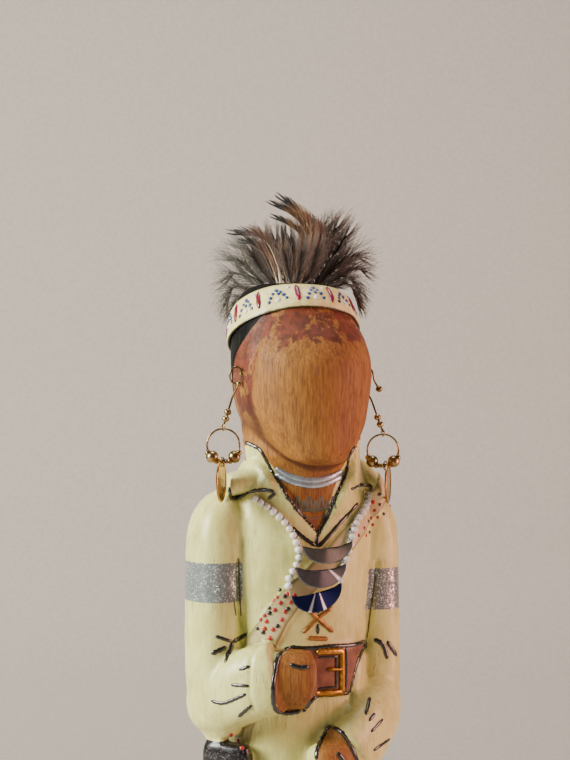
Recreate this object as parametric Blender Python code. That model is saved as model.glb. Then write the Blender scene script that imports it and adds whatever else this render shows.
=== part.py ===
"""A carved and painted wooden folk-art doll without a face, on a low base.

The figure faces -Y and its right hand is at -X. All lengths are metres and +Z is up. The carved figure
is a free form: its tables give places in shares of its height, each share being a 288th of it. The
trims, such as the headband, feathers, earrings, beads and gorgets, have sizes of their own and are laid
on the figure's finished surface.
"""
import math

import bmesh
import bpy
import numpy as np
from mathutils import Matrix, Vector
from mathutils.bvhtree import BVHTree

# Carved figure and base
FIGURE_HEIGHT = 0.288
BASE_LENGTH = 0.096
BASE_DEPTH = 0.066
BASE_THICKNESS = 0.012
BASE_CORNER = 0.012
BASE_EDGE = 0.0015
FIT_GAP = 0.0003

# Relief on the figure
BELT_RELIEF = 0.0009
STRAP_WIDTH = 0.0085
STRAP_RELIEF = 0.0008
COLLAR_RELIEF = 0.0015
NECKLINE_DEPTH = 0.0016
MASK_RELIEF = 0.0007
BUCKLE_WIDTH = 0.0125
BUCKLE_HEIGHT = 0.0155
BUCKLE_BAR = 0.0024
BUCKLE_RELIEF = 0.0010

# Headband
BAND_WIDTH = 0.0114
BAND_THICKNESS = 0.0010
BAND_GAP = 0.0005
BAND_TILT = math.radians(24.0)
BAND_ROLL = math.radians(4.0)

# Feathers: how high the fan stands, and how thick a blade or tuft is
FAN_HEIGHT = 0.033
BLADE_THICKNESS = 0.0024
TUFT_THICKNESS = 0.0050
FAN_TURN = math.radians(-25.0)

# Earrings
EAR_LOOP = 0.0048
RIGHT_EAR_STAND = 0.0070
LEFT_EAR_STAND = 0.0008
RIGHT_EAR_DROP = 0.0180
LEFT_EAR_DROP = 0.0208
WIRE_DIAMETER = 0.00075
HOOK_BALL_DIAMETER = 0.0026
HOOP_DIAMETER = 0.0115
HOOP_BEAD_DIAMETER = 0.0046
HOOP_BEAD_TURN = 0.12
COIN_DIAMETER = 0.0152
COIN_THICKNESS = 0.0008
COIN_OUT = 0.0045
COIN_TURN = math.radians(-35)

# Necklace
BEAD_DIAMETER = 0.0030
SMALL_BEAD_DIAMETER = 0.0020
THREAD_DIAMETER = 0.0007
WIRE_STEPS = 18
GORGET_WIDTH = 0.0200
GORGET_THICKNESS = 0.0006

# How finely the figure is carved
CARVING_CELL = FIGURE_HEIGHT / 230
FIGURE_TRIANGLES = 5200

SHARES = 288
SHARE = FIGURE_HEIGHT / SHARES
FAN_SHARE = FAN_HEIGHT / 33
SOLE_HEIGHT = BASE_THICKNESS + FIT_GAP

# Upright sections: height, centre forward or back, half width, half depth, squareness
TORSO = (
    (72, 0.0, 29.5, 21.5, 2.5), (76, 0.0, 30.0, 22.0, 2.5), (95, 0.0, 28.5, 21.5, 2.5),
    (115, 0.0, 26.0, 20.5, 2.5), (130, 0.0, 24.5, 20.3, 2.5), (150, 0.0, 25.0, 20.8, 2.5),
    (170, 0.0, 26.0, 21.5, 2.5), (188, 0.0, 27.0, 21.8, 2.5), (200, 0.0, 27.5, 21.0, 2.4),
    (209, 0.0, 26.0, 19.0, 2.3), (216, -1.0, 22.5, 17.2, 2.2), (222, -2.5, 19.5, 16.2, 2.1),
)
NECK = (
    (196, -4.0, 18.0, 15.0, 2.0), (214, -4.6, 17.4, 15.4, 2.0), (222, -3.6, 18.4, 16.8, 2.0),
    (230, -2.6, 19.6, 18.6, 2.0), (236, -2.6, 20.6, 19.6, 2.0), (243, -3.2, 20.8, 20.4, 2.0),
)
COLLAR = (
    (205, -2.5, 24.5, 19.4, 2.1), (213, -3.6, 23.2, 19.8, 2.1), (221, -4.2, 20.0, 20.0, 2.0),
    (229, -4.2, 20.7, 19.6, 2.0), (231.5, -4.3, 20.1, 19.0, 2.0),
)
YOKE = (
    (188, 0.5, 33.5, 10.5, 2.8), (192, 0.5, 35.0, 13.0, 2.8), (199, 0.5, 35.5, 14.5, 2.8), (205, 0.3, 33.0, 12.8, 2.6),
    (210, 0.3, 27.0, 9.5, 2.4),
)
HEAD = (
    (221.5, -19.5, 5.0, 6.5, 2.0), (223.5, -17.5, 9.5, 11.5, 2.0), (227, -14.0, 13.6, 16.7, 2.0),
    (232, -9.6, 17.7, 21.2, 2.1), (238, -6.7, 21.4, 24.0, 2.1), (246, -5.6, 23.1, 26.0, 2.1),
    (257, -5.2, 24.1, 27.0, 2.1), (266, -3.3, 23.6, 25.8, 2.1), (274, -0.5, 22.0, 23.6, 2.1),
    (281, 1.1, 19.9, 21.2, 2.1), (285.5, 1.6, 16.7, 17.7, 2.1), (287.5, 1.6, 11.5, 12.0, 2.0),
    (288, 1.6, 4.5, 4.8, 2.0),
)
LEG = (
    (9, 0.0, 11.0, 11.5, 2.2), (22, 0.5, 11.5, 11.8, 2.2), (45, 0.5, 13.0, 13.5, 2.2),
    (62, 0.5, 14.0, 15.0, 2.2), (80, 0.5, 14.5, 16.0, 2.2),
)
LEG_OUT = 12.8
COLLAR_SIDE = 1.4
EAR_HEIGHT = 254.4
BAND_HEIGHT = 275.0
BELT_HEIGHTS = (139.3, 156.6)

# Limb sections: side, forward or back, height, half width, half depth, squareness
UPPER_ARM = (
    (25.0, 0.5, 208.0, 5.0, 8.0, 2.1), (28.2, 0.3, 205.0, 8.6, 10.6, 2.2), (30.8, 0.0, 197.0, 10.2, 12.0, 2.3),
    (31.8, 0.0, 182.0, 9.8, 12.1, 2.4), (32.2, -0.3, 160.0, 9.6, 12.0, 2.4), (32.0, -1.0, 144.0, 9.6, 12.0, 2.4),
    (31.0, -2.5, 132.0, 9.0, 11.6, 2.3), (29.6, -4.0, 124.0, 5.6, 8.0, 2.2),
)
RIGHT_WING = (
    (-14.0, -5.0, 217.5, 3.0, 5.5, 2.2), (-20.0, -5.0, 216.6, 2.6, 6.0, 2.4), (-26.0, -4.8, 215.4, 2.5, 6.0, 2.4),
    (-29.5, -4.4, 214.4, 2.3, 5.4, 2.4), (-31.5, -4.0, 213.2, 1.3, 4.0, 2.2),
)
LEFT_WING = (
    (15.0, -5.0, 223.0, 3.0, 6.0, 2.2), (20.0, -5.0, 221.0, 4.2, 6.5, 2.3), (25.5, -4.8, 217.0, 4.8, 6.5, 2.3),
    (30.0, -4.2, 211.3, 4.8, 6.0, 2.3), (32.0, -4.0, 206.0, 3.0, 5.0, 2.2),
)
RIGHT_FOREARM = (
    (-33.0, 4.0, 134.0, 8.5, 9.0, 2.3), (-32.2, -3.5, 137.0, 9.6, 12.0, 2.4),
    (-28.2, -12.0, 141.6, 9.4, 12.4, 2.5), (-23.2, -19.0, 145.6, 9.0, 12.8, 2.6),
    (-17.4, -23.2, 147.4, 8.4, 12.8, 2.7),
)
RIGHT_FIST = (
    (-20.0, -22.6, 147.2, 6.4, 9.6, 2.6), (-12.0, -25.0, 146.6, 6.9, 10.2, 2.6),
    (-7.2, -25.6, 146.4, 6.7, 10.0, 2.6), (-5.0, -25.6, 146.4, 4.6, 7.6, 2.4),
)
LEFT_FOREARM = (
    (33.2, 4.0, 134.0, 8.5, 9.5, 2.3), (31.8, -4.0, 132.0, 9.8, 12.4, 2.4),
    (26.2, -12.2, 129.0, 9.5, 12.5, 2.5), (18.2, -19.4, 124.5, 9.2, 12.6, 2.6),
    (9.8, -24.0, 117.5, 8.6, 12.6, 2.7),
)
LEFT_FIST = (
    (13.0, -23.4, 117.5, 6.4, 9.4, 2.6), (4.5, -26.0, 114.8, 6.9, 10.2, 2.6),
    (-2.2, -26.8, 113.2, 6.7, 9.8, 2.6), (-4.6, -27.0, 112.6, 4.6, 7.6, 2.4),
)
FOOT = (
    (0.0, 11.5, 6.6, 8.8, 6.4, 2.4), (0.0, 7.0, 7.2, 10.6, 7.2, 2.4), (0.0, -4.0, 7.4, 11.0, 7.4, 2.4),
    (0.0, -15.0, 6.2, 11.2, 6.2, 2.3), (0.0, -23.0, 5.0, 9.6, 5.0, 2.2), (0.0, -26.5, 4.2, 5.5, 4.0, 2.0),
)
POUCH_CENTRE = (-30.8, -9.6)
POUCH_TURN = math.radians(-52.0)
POUCH_SIZE = (19.5, 8.0)
POUCH_HEIGHTS = (84.0, 123.0)

# Front outlines, side and height in shares
NECKLINE = (
    (-19.6, 233.0), (-18.5, 225.0), (-15.7, 217.0), (-9.5, 207.7), (0.2, 196.8),
    (4.8, 203.0), (9.2, 211.5), (13.4, 219.0), (15.2, 226.0), (16.6, 233.0),
)
RIGHT_FLAP = (
    (-19.6, 232.0), (-28.5, 219.5), (-31.0, 209.5), (-22.5, 212.3), (-15.5, 212.6), (-16.2, 218.0), (-18.5, 225.0),
)
LEFT_FLAP = (
    (16.6, 232.0), (19.0, 224.0), (28.0, 215.5), (32.5, 208.5), (27.5, 211.3), (13.6, 214.4), (13.6, 219.0),
    (15.2, 226.0),
)
STRAP_FRONT = (
    (33.0, 214.0), (28.8, 208.1), (12.8, 195.5), (-10.5, 175.2), (-15.6, 168.0), (-19.6, 159.0), (-27.0, 122.0),
)
STRAP_BACK = ((31.0, 214.0), (22.0, 200.0), (0.0, 165.0), (-22.0, 132.0), (-28.5, 118.0))
BUCKLE_CENTRE = (3.2, 147.8)
MASK_CENTRE = (0.0, 252.5)
MASK_HALF = (22.6, 31.5)


def lift(point):
    """A place given in shares of the figure, in metres above the floor."""
    return Vector((point[0] * SHARE, point[1] * SHARE, SOLE_HEIGHT + point[2] * SHARE))


def smooth_rows(rows, steps):
    """Rows along a smooth curve through the given rows, a few steps between each two."""
    table = np.array(rows, dtype=float)
    padded = np.vstack([2 * table[0] - table[1], table, 2 * table[-1] - table[-2]])
    result = []
    for index in range(1, len(padded) - 2):
        before, start, end, after = padded[index - 1:index + 3]
        for step in range(steps):
            t = step / steps
            result.append(0.5 * (2 * start + (end - before) * t
                                 + (2 * before - 5 * start + 4 * end - after) * t ** 2
                                 + (3 * start - before - 3 * end + after) * t ** 3))
    result.append(table[-1])
    return result


def section(centre, side, up, half_side, half_up, power, count):
    """Points of one rounded section, in the plane of the two unit vectors."""
    points = []
    for index in range(count):
        angle = 2 * math.pi * index / count
        across = math.copysign(abs(math.cos(angle)) ** (2 / power), math.cos(angle)) * half_side
        along = math.copysign(abs(math.sin(angle)) ** (2 / power), math.sin(angle)) * half_up
        points.append(centre + side * across + up * along)
    return points


def skin(bm, rings, closed=False):
    """Faces between the rings, with a fan over each end unless the rings close on themselves."""
    rows = [[bm.verts.new(point) for point in ring] for ring in rings]
    count = len(rows[0])
    pairs = list(zip(rows, rows[1:]))
    if closed:
        pairs.append((rows[-1], rows[0]))
    for low, high in pairs:
        for index in range(count):
            following = (index + 1) % count
            bm.faces.new((low[index], low[following], high[following], high[index]))
    if closed:
        return
    for row, turned in ((rows[0], True), (rows[-1], False)):
        middle = bm.verts.new(sum((vert.co for vert in row), Vector()) / count)
        for index in range(count):
            first, second = row[index], row[(index + 1) % count]
            bm.faces.new((second, first, middle) if turned else (first, second, middle))


def upright(bm, rows, side=0.0, grow=0.0, sides=40, steps=3):
    """A carved form with level sections."""
    rings = []
    for height, forward, half_width, half_depth, power in smooth_rows(rows, steps):
        centre = lift((side, forward, height))
        rings.append(section(centre, Vector((1, 0, 0)), Vector((0, 1, 0)), half_width * SHARE + grow,
                             half_depth * SHARE + grow, power, sides))
    skin(bm, rings)


def limb(bm, rows, reference, sides=28, steps=4):
    """A carved form with sections square to its own path."""
    path = smooth_rows(rows, steps)
    places = [lift(row[:3]) for row in path]
    rings = []
    for index, row in enumerate(path):
        start = places[max(index - 1, 0)]
        end = places[min(index + 1, len(path) - 1)]
        along = (end - start).normalized()
        side = along.cross(reference).normalized()
        rings.append(section(places[index], side, side.cross(along), row[3] * SHARE, row[4] * SHARE,
                             row[5], sides))
    skin(bm, rings)


def mirrored(rows):
    """The same limb on the figure's other side."""
    return tuple((-row[0],) + tuple(row[1:]) for row in rows)


def moved_sideways(rows, side):
    """The same limb, moved sideways."""
    return tuple((row[0] + side,) + tuple(row[1:]) for row in rows)


def row_between(rows, height):
    """The section of a level form at a height, between two of its rows."""
    table = np.array(rows, dtype=float)
    return tuple([height] + [float(np.interp(height, table[:, 0], table[:, column]))
                             for column in range(1, table.shape[1])])


def new_object(name, bm, material, smooth_angle=None):
    """A named object from a bmesh, with its faces turned outwards."""
    bmesh.ops.recalc_face_normals(bm, faces=bm.faces)
    mesh = bpy.data.meshes.new(name)
    bm.to_mesh(mesh)
    bm.free()
    if smooth_angle is not None:
        mesh.shade_smooth()
        mesh.set_sharp_from_angle(angle=math.radians(smooth_angle))
    obj = bpy.data.objects.new(name, mesh)
    bpy.context.scene.collection.objects.link(obj)
    mesh.materials.append(material)
    return obj


def finish(name, colour, roughness, metallic=0.0):
    """A plain finish for one sub-part."""
    material = bpy.data.materials.new(name)
    material.use_nodes = True
    shader = material.node_tree.nodes["Principled BSDF"]
    shader.inputs["Base Color"].default_value = (*colour, 1.0)
    shader.inputs["Roughness"].default_value = roughness
    shader.inputs["Metallic"].default_value = metallic
    return material


def shaped(obj):
    """The object's mesh as its modifiers leave it, with the modifiers used up."""
    graph = bpy.context.evaluated_depsgraph_get()
    mesh = bpy.data.meshes.new_from_object(obj.evaluated_get(graph), depsgraph=graph)
    obj.modifiers.clear()
    obj.data = mesh
    return mesh


def inside_outline(sides, heights, outline):
    """How deep each place lies inside a closed outline, negative outside."""
    inside = np.zeros(len(sides), dtype=bool)
    nearest = np.full(len(sides), np.inf)
    corners = list(outline)
    for (x0, z0), (x1, z1) in zip(corners, corners[1:] + corners[:1]):
        crosses = (z0 > heights) != (z1 > heights)
        slope = (x1 - x0) / (z1 - z0) if z1 != z0 else 0.0
        inside ^= crosses & (sides < x0 + slope * (heights - z0))
        nearest = np.minimum(nearest, to_segment(sides, heights, (x0, z0), (x1, z1)))
    return np.where(inside, nearest, -nearest)


def to_segment(sides, heights, start, end):
    """Distance of each place from one straight stretch."""
    dx, dz = end[0] - start[0], end[1] - start[1]
    t = ((sides - start[0]) * dx + (heights - start[1]) * dz) / (dx * dx + dz * dz)
    t = np.clip(t, 0.0, 1.0)
    return np.hypot(sides - start[0] - t * dx, heights - start[1] - t * dz)


def to_line(sides, heights, line):
    """Distance of each place from an open line of several stretches."""
    nearest = np.full(len(sides), np.inf)
    for start, end in zip(line, line[1:]):
        nearest = np.minimum(nearest, to_segment(sides, heights, start, end))
    return nearest


def edge(depth, softness=0.5):
    """One inside a form, nought outside, with a short slope at its edge."""
    return np.clip(depth / softness + 0.5, 0.0, 1.0)


def relief(places, normals):
    """How far the carver leaves each place of the figure proud, or sinks it."""
    x, y, z = places[:, 0] / SHARE, places[:, 1] / SHARE, (places[:, 2] - SOLE_HEIGHT) / SHARE
    front = np.clip(-normals[:, 1] * 4.0, 0.0, 1.0)
    behind = np.clip(normals[:, 1] * 4.0, 0.0, 1.0)
    on_chest = edge(z - 190.0, 8.0) * edge(222.0 - z, 6.0)
    amount = np.zeros(len(x))

    neckline = edge(inside_outline(x, z, NECKLINE)) * edge(-5.0 - y) * on_chest
    opening = NECKLINE_DEPTH * (1.0 + np.clip((z - 200.0) / 20.0, 0.0, 1.0))
    amount -= opening * neckline * front
    for outline in (RIGHT_FLAP, LEFT_FLAP):
        flap = edge(inside_outline(x, z, outline)) * edge(2.0 - y)
        amount += COLLAR_RELIEF * flap

    half_strap = STRAP_WIDTH / 2 / SHARE
    off_arms = edge(27.0 - np.abs(x), 1.5)
    front_strap = edge(half_strap - to_line(x, z, STRAP_FRONT)) * front
    back_strap = edge(half_strap - to_line(x, z, STRAP_BACK)) * behind
    amount += STRAP_RELIEF * (front_strap * edge(-4.0 - y) + back_strap * edge(y - 4.0)) * off_arms

    mask = inside_outline_of_mask(x, z)
    amount += MASK_RELIEF * edge(mask, 0.8) * edge(-8.0 - y) * edge(z - 221.0)

    across = np.abs(x - BUCKLE_CENTRE[0]) * SHARE
    along = np.abs(z - BUCKLE_CENTRE[1]) * SHARE
    rim = np.maximum(across - BUCKLE_WIDTH / 2, along - BUCKLE_HEIGHT / 2) / SHARE
    frame = edge(-rim) * edge(rim + BUCKLE_BAR / SHARE)
    amount += BUCKLE_RELIEF * frame * front * edge(-15.0 - y)
    return amount


def inside_outline_of_mask(x, z):
    """How deep each place lies inside the smooth oval left for the face, in shares."""
    reach = np.hypot((x - MASK_CENTRE[0]) / MASK_HALF[0], (z - MASK_CENTRE[1]) / MASK_HALF[1])
    return (1.0 - reach) * MASK_HALF[0]


def carve(mesh):
    """Move every point of a finely divided figure by its relief."""
    count = len(mesh.vertices)
    places = np.empty(count * 3)
    normals = np.empty(count * 3)
    mesh.vertices.foreach_get("co", places)
    mesh.vertex_normals.foreach_get("vector", normals)
    places = places.reshape(-1, 3)
    normals = normals.reshape(-1, 3)
    places += normals * relief(places, normals)[:, None]
    mesh.vertices.foreach_set("co", places.ravel())
    mesh.update()


def pouch(bm):
    """The flat shoulder pouch, carved on the right hip."""
    turn = Matrix.Rotation(POUCH_TURN, 3, "Z")
    side, out = turn @ Vector((1, 0, 0)), turn @ Vector((0, 1, 0))
    rings = []
    low, high = POUCH_HEIGHTS
    for height, part in ((low, 0.80), (low + 1.5, 0.94), (low + 4, 1.0), (high - 3, 0.97), (high, 0.86)):
        centre = lift((POUCH_CENTRE[0], POUCH_CENTRE[1], height))
        rings.append(section(centre, side, out, POUCH_SIZE[0] / 2 * part * SHARE,
                             POUCH_SIZE[1] / 2 * part * SHARE, 3.2, 24))
    skin(bm, rings)


def carved_figure(material):
    """The whole figure, from the crown to the soles, out of one piece of wood."""
    bm = bmesh.new()
    upright(bm, TORSO)
    upright(bm, NECK)
    upright(bm, COLLAR, side=COLLAR_SIDE)
    upright(bm, YOKE)
    upright(bm, HEAD)
    low, high = BELT_HEIGHTS
    belt = [row_between(TORSO, low), row_between(TORSO, (low + high) / 2), row_between(TORSO, high)]
    upright(bm, belt, grow=BELT_RELIEF)
    for hand in (-1, 1):
        upright(bm, LEG, side=hand * LEG_OUT)
        limb(bm, moved_sideways(FOOT, hand * LEG_OUT), Vector((0, 0, 1)))
    limb(bm, mirrored(UPPER_ARM), Vector((0, 1, 0)))
    limb(bm, UPPER_ARM, Vector((0, 1, 0)))
    for rows in (RIGHT_WING, LEFT_WING):
        limb(bm, rows, Vector((0, 1, 0)))
    for rows in (RIGHT_FOREARM, RIGHT_FIST, LEFT_FOREARM, LEFT_FIST):
        limb(bm, rows, Vector((0, 0, 1)))
    pouch(bm)
    figure = new_object("carved_figure", bm, material)

    cells = figure.modifiers.new("Cells", "REMESH")
    cells.mode = "VOXEL"
    cells.voxel_size = CARVING_CELL
    soften = figure.modifiers.new("Soften", "SMOOTH")
    soften.factor = 0.5
    soften.iterations = 3
    mesh = shaped(figure)
    carve(mesh)
    flatten_soles(mesh)
    thin = figure.modifiers.new("Thin", "DECIMATE")
    thin.ratio = FIGURE_TRIANGLES / (2 * len(mesh.polygons))
    mesh = shaped(figure)
    mesh.materials.clear()
    mesh.materials.append(material)
    mesh.shade_smooth()
    return figure


def flatten_soles(mesh):
    """Cut the moccasins' undersides level, so that they stand on the base."""
    for vertex in mesh.vertices:
        if vertex.co.z < SOLE_HEIGHT + 1.2 * SHARE:
            vertex.co.z = SOLE_HEIGHT


def base(material):
    """The low wooden base, a block with round corners and eased edges."""
    bm = bmesh.new()
    outline = []
    corner = (BASE_LENGTH / 2 - BASE_CORNER, BASE_DEPTH / 2 - BASE_CORNER)
    for quarter, (sign_x, sign_y) in enumerate(((1, 1), (-1, 1), (-1, -1), (1, -1))):
        for step in range(7):
            angle = math.pi / 2 * (quarter + step / 6)
            outline.append(Vector((sign_x * corner[0] + BASE_CORNER * math.cos(angle),
                                   sign_y * corner[1] + BASE_CORNER * math.sin(angle), 0.0)))
    low = bm.faces.new([bm.verts.new(point) for point in outline])
    raised = bmesh.ops.extrude_face_region(bm, geom=[low])["geom"]
    for item in raised:
        if isinstance(item, bmesh.types.BMVert):
            item.co.z = BASE_THICKNESS
    block = new_object("base", bm, material)
    eased = block.modifiers.new("Eased", "BEVEL")
    eased.width = BASE_EDGE
    eased.segments = 1
    eased.limit_method = "ANGLE"
    eased.angle_limit = math.radians(60)
    return block


class Surface:
    """The figure's finished surface, for laying trims on it."""

    def __init__(self, figure):
        bm = bmesh.new()
        bm.from_mesh(figure.data)
        self.tree = BVHTree.FromBMesh(bm)
        bm.free()

    def from_front(self, side, height, proud):
        """The place on the front at a side and height in shares, stood proud by some metres."""
        start = lift((side, -90.0, height))
        hit, normal, _, _ = self.tree.ray_cast(start, Vector((0, 1, 0)))
        return hit + normal * proud

    def front_depth(self, side, height):
        """How far forward the front lies, in metres along Y."""
        return self.from_front(side, height, 0.0).y

    def crown(self, x, y):
        """The height of the head's top over a place, in metres."""
        hit, _, _, _ = self.tree.ray_cast(Vector((x, y, 2 * FIGURE_HEIGHT)), Vector((0, 0, -1)))
        return hit.z

    def outward(self, centre, direction):
        """The distance from a place inside to the surface."""
        _, _, _, distance = self.tree.ray_cast(centre, direction)
        return distance


def headband(surface, material):
    """A leather strip that runs round the tilted top of the head."""
    centre = lift((0.0, 0.0, BAND_HEIGHT))
    tilt = Matrix.Rotation(-BAND_TILT, 3, "X") @ Matrix.Rotation(BAND_ROLL, 3, "Y")
    up = tilt @ Vector((0, 0, 1))
    count = 48
    levels = 4
    inner = []
    outer = []
    for step in range(levels):
        offset = BAND_WIDTH * (step / (levels - 1) - 0.5)
        origin = centre + up * offset
        directions = [tilt @ Vector((math.cos(2 * math.pi * i / count), math.sin(2 * math.pi * i / count), 0))
                      for i in range(count)]
        reach = [surface.outward(origin, direction) for direction in directions]
        kept = [max(reach[i - 1], reach[i], reach[(i + 1) % count]) + BAND_GAP for i in range(count)]
        inner.append([origin + d * r for d, r in zip(directions, kept)])
        outer.append([origin + d * (r + BAND_THICKNESS) for d, r in zip(directions, kept)])
    bm = bmesh.new()
    skin(bm, inner[::-1] + [outer[0], outer[-1]], closed=True)
    return new_object("headband", bm, material, 40)


def sweep(bm, places, halves, reference, sides):
    """A closed form along a path, with a half width and a half thickness at each place."""
    rings = []
    for index, place in enumerate(places):
        along = (places[min(index + 1, len(places) - 1)] - places[max(index - 1, 0)]).normalized()
        side = along.cross(reference).normalized()
        rings.append(section(place, side, side.cross(along), halves[index][0], halves[index][1], 2.0, sides))
    skin(bm, rings)


def feather(name, surface, material, depth, spine, breadth, thickness):
    """One feather or tuft that rises from the crown.

    The spine's points are sideways and height above the crown in the plane of the fan, and the depth
    sets the layer in which the feather stands.
    """
    depth, breadth = depth * FAN_SHARE, breadth * FAN_SHARE
    spine = [(sideways * FAN_SHARE, height * FAN_SHARE) for sideways, height in spine]
    turn = Matrix.Rotation(FAN_TURN, 3, "Z")
    across = turn @ Vector((1, 0, 0))
    inward = turn @ Vector((0, 1, 0))
    root = lift((0.0, 1.6, 0.0)) + across * spine[0][0] + inward * depth
    reach = [root + across * (breadth * part) + inward * (thickness * side)
             for part in (-0.4, -0.2, 0.0, 0.2, 0.4) for side in (-0.5, 0.5)]
    foot = max(surface.crown(place.x, place.y) for place in reach) + 2 * FIT_GAP
    rows = smooth_rows(spine, 3)
    places = []
    halves = []
    for index, (sideways, height) in enumerate(rows):
        share = index / (len(rows) - 1)
        places.append(Vector((0, 0, foot + height)) + across * sideways + inward * depth
                      + Vector((0.0, 1.6 * SHARE, 0.0)))
        body = min(1.0, 0.28 + 2.4 * share) * (1.0 - share ** 3) ** 0.6
        halves.append((max(breadth / 2 * body, 0.0004), max(thickness / 2 * body, 0.0003)))
    bm = bmesh.new()
    sweep(bm, places, halves, inward, 8)
    return new_object(name, bm, material, 60)


# Name, depth of its layer, spine as sideways and height, breadth: all in 33rds of the fan's height
FEATHERS = (
    ("feather_golden", -8.5, ((3.0, 0.0), (1.0, 7.0), (-1.5, 14.0), (-4.5, 20.5)), 6.0, "blade"),
    ("feather_pale", -5.2, ((-4.2, 0.0), (-5.8, 8.0), (-11.0, 16.0), (-22.5, 19.0)), 5.0, "blade"),
    ("feather_rust", -1.8, ((5.0, 0.0), (7.2, 13.0), (5.0, 22.5), (-6.2, 33.0)), 9.0, "blade"),
    ("feather_brown", 3.4, ((-1.0, 0.0), (-2.0, 7.0), (-4.5, 14.0), (-7.5, 19.0)), 20.0, "tuft"),
    ("feather_fluff_right", 9.2, ((8.0, 0.0), (11.0, 9.0), (13.5, 17.0), (15.0, 25.0)), 21.0, "tuft"),
    ("feather_droop_right", 4.0, ((16.0, 0.0), (19.5, 9.0), (23.8, 9.0), (26.2, -3.0)), 7.5, "tuft"),
    ("feather_down_left", 9.8, ((-9.0, 0.0), (-15.0, 9.0), (-20.0, 7.0), (-25.0, -6.0)), 13.0, "tuft"),
)


def feathers(surface, finishes):
    """The feathers and tufts, each in a layer of its own."""
    for name, depth, spine, breadth, kind in FEATHERS:
        thickness = BLADE_THICKNESS if kind == "blade" else TUFT_THICKNESS
        feather(name, surface, finishes[kind], depth, spine, breadth, thickness)


def along_path(points, position):
    """The place at a distance along a path of many short stretches."""
    for start, end in zip(points, points[1:]):
        stretch = (end - start).length
        if position <= stretch:
            return start.lerp(end, position / stretch)
        position -= stretch
    return points[-1].copy()


def path_length(points):
    """The length of a path."""
    return sum((end - start).length for start, end in zip(points, points[1:]))


def threaded(name, points, thread_diameter, beads, material, sides=5, closed=False):
    """A thread or wire with beads on it, as one closed solid.

    Each bead is a distance along the path and a diameter.
    """
    total = path_length(points)
    thread = thread_diameter / 2
    stations = {} if closed else {0.0: thread, total: thread}
    for position, diameter in beads:
        radius = diameter / 2
        reach = math.sqrt(radius ** 2 - thread ** 2)
        for offset in (-reach, -0.5 * radius, 0.5 * radius, reach):
            stations[round(position + offset, 7)] = math.sqrt(max(radius ** 2 - offset ** 2, thread ** 2))
    spacing = total / WIRE_STEPS
    for index in range(WIRE_STEPS):
        position = index * spacing
        if all(abs(position - bead) > diameter / 2 + spacing / 3 for bead, diameter in beads):
            stations.setdefault(round(position, 7), thread)
    order = sorted(stations)
    reference = Vector((0.13, 0.31, 0.94)).normalized()
    if closed:
        reference = (points[1] - points[0]).cross(points[len(points) // 3] - points[0]).normalized()
    rings = []
    for position in order:
        place = along_path(points, position % total if closed else position)
        ahead = along_path(points, (position + 2e-4) % total if closed else min(position + 2e-4, total))
        back = along_path(points, (position - 2e-4) % total if closed else max(position - 2e-4, 0.0))
        along = (ahead - back).normalized()
        side = along.cross(reference).normalized()
        radius = stations[position]
        rings.append(section(place, side, side.cross(along), radius, radius, 2.0, sides))
    bm = bmesh.new()
    skin(bm, rings, closed)
    return new_object(name, bm, material, 50)


def smooth_path(points, steps=8):
    """A smooth path through the given points."""
    return [Vector(row) for row in smooth_rows([tuple(point) for point in points], steps)]


def coin_clearance(surface, coin_x, low):
    """How far back the middle of a hanging coin may stand before its edge meets the shoulder."""
    disc = COIN_DIAMETER / 2
    limit = 0.0
    for part in (0.02, 0.08, 0.16, 0.26, 0.38, 0.5, 0.7, 1.0):
        rise = disc * part
        chord = math.sqrt(disc ** 2 - (disc - rise) ** 2)
        back = chord * math.cos(COIN_TURN)
        aside = chord * abs(math.sin(COIN_TURN)) + COIN_THICKNESS
        for offset in (-aside, -aside / 2, 0.0, aside / 2, aside):
            start = Vector((coin_x + offset, -FIGURE_HEIGHT, low + rise - FIT_GAP))
            hit = surface.tree.ray_cast(start, Vector((0, 1, 0)))[0]
            if hit is not None:
                limit = min(limit, hit.y - back - COIN_THICKNESS - 2 * FIT_GAP)
    return limit


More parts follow.
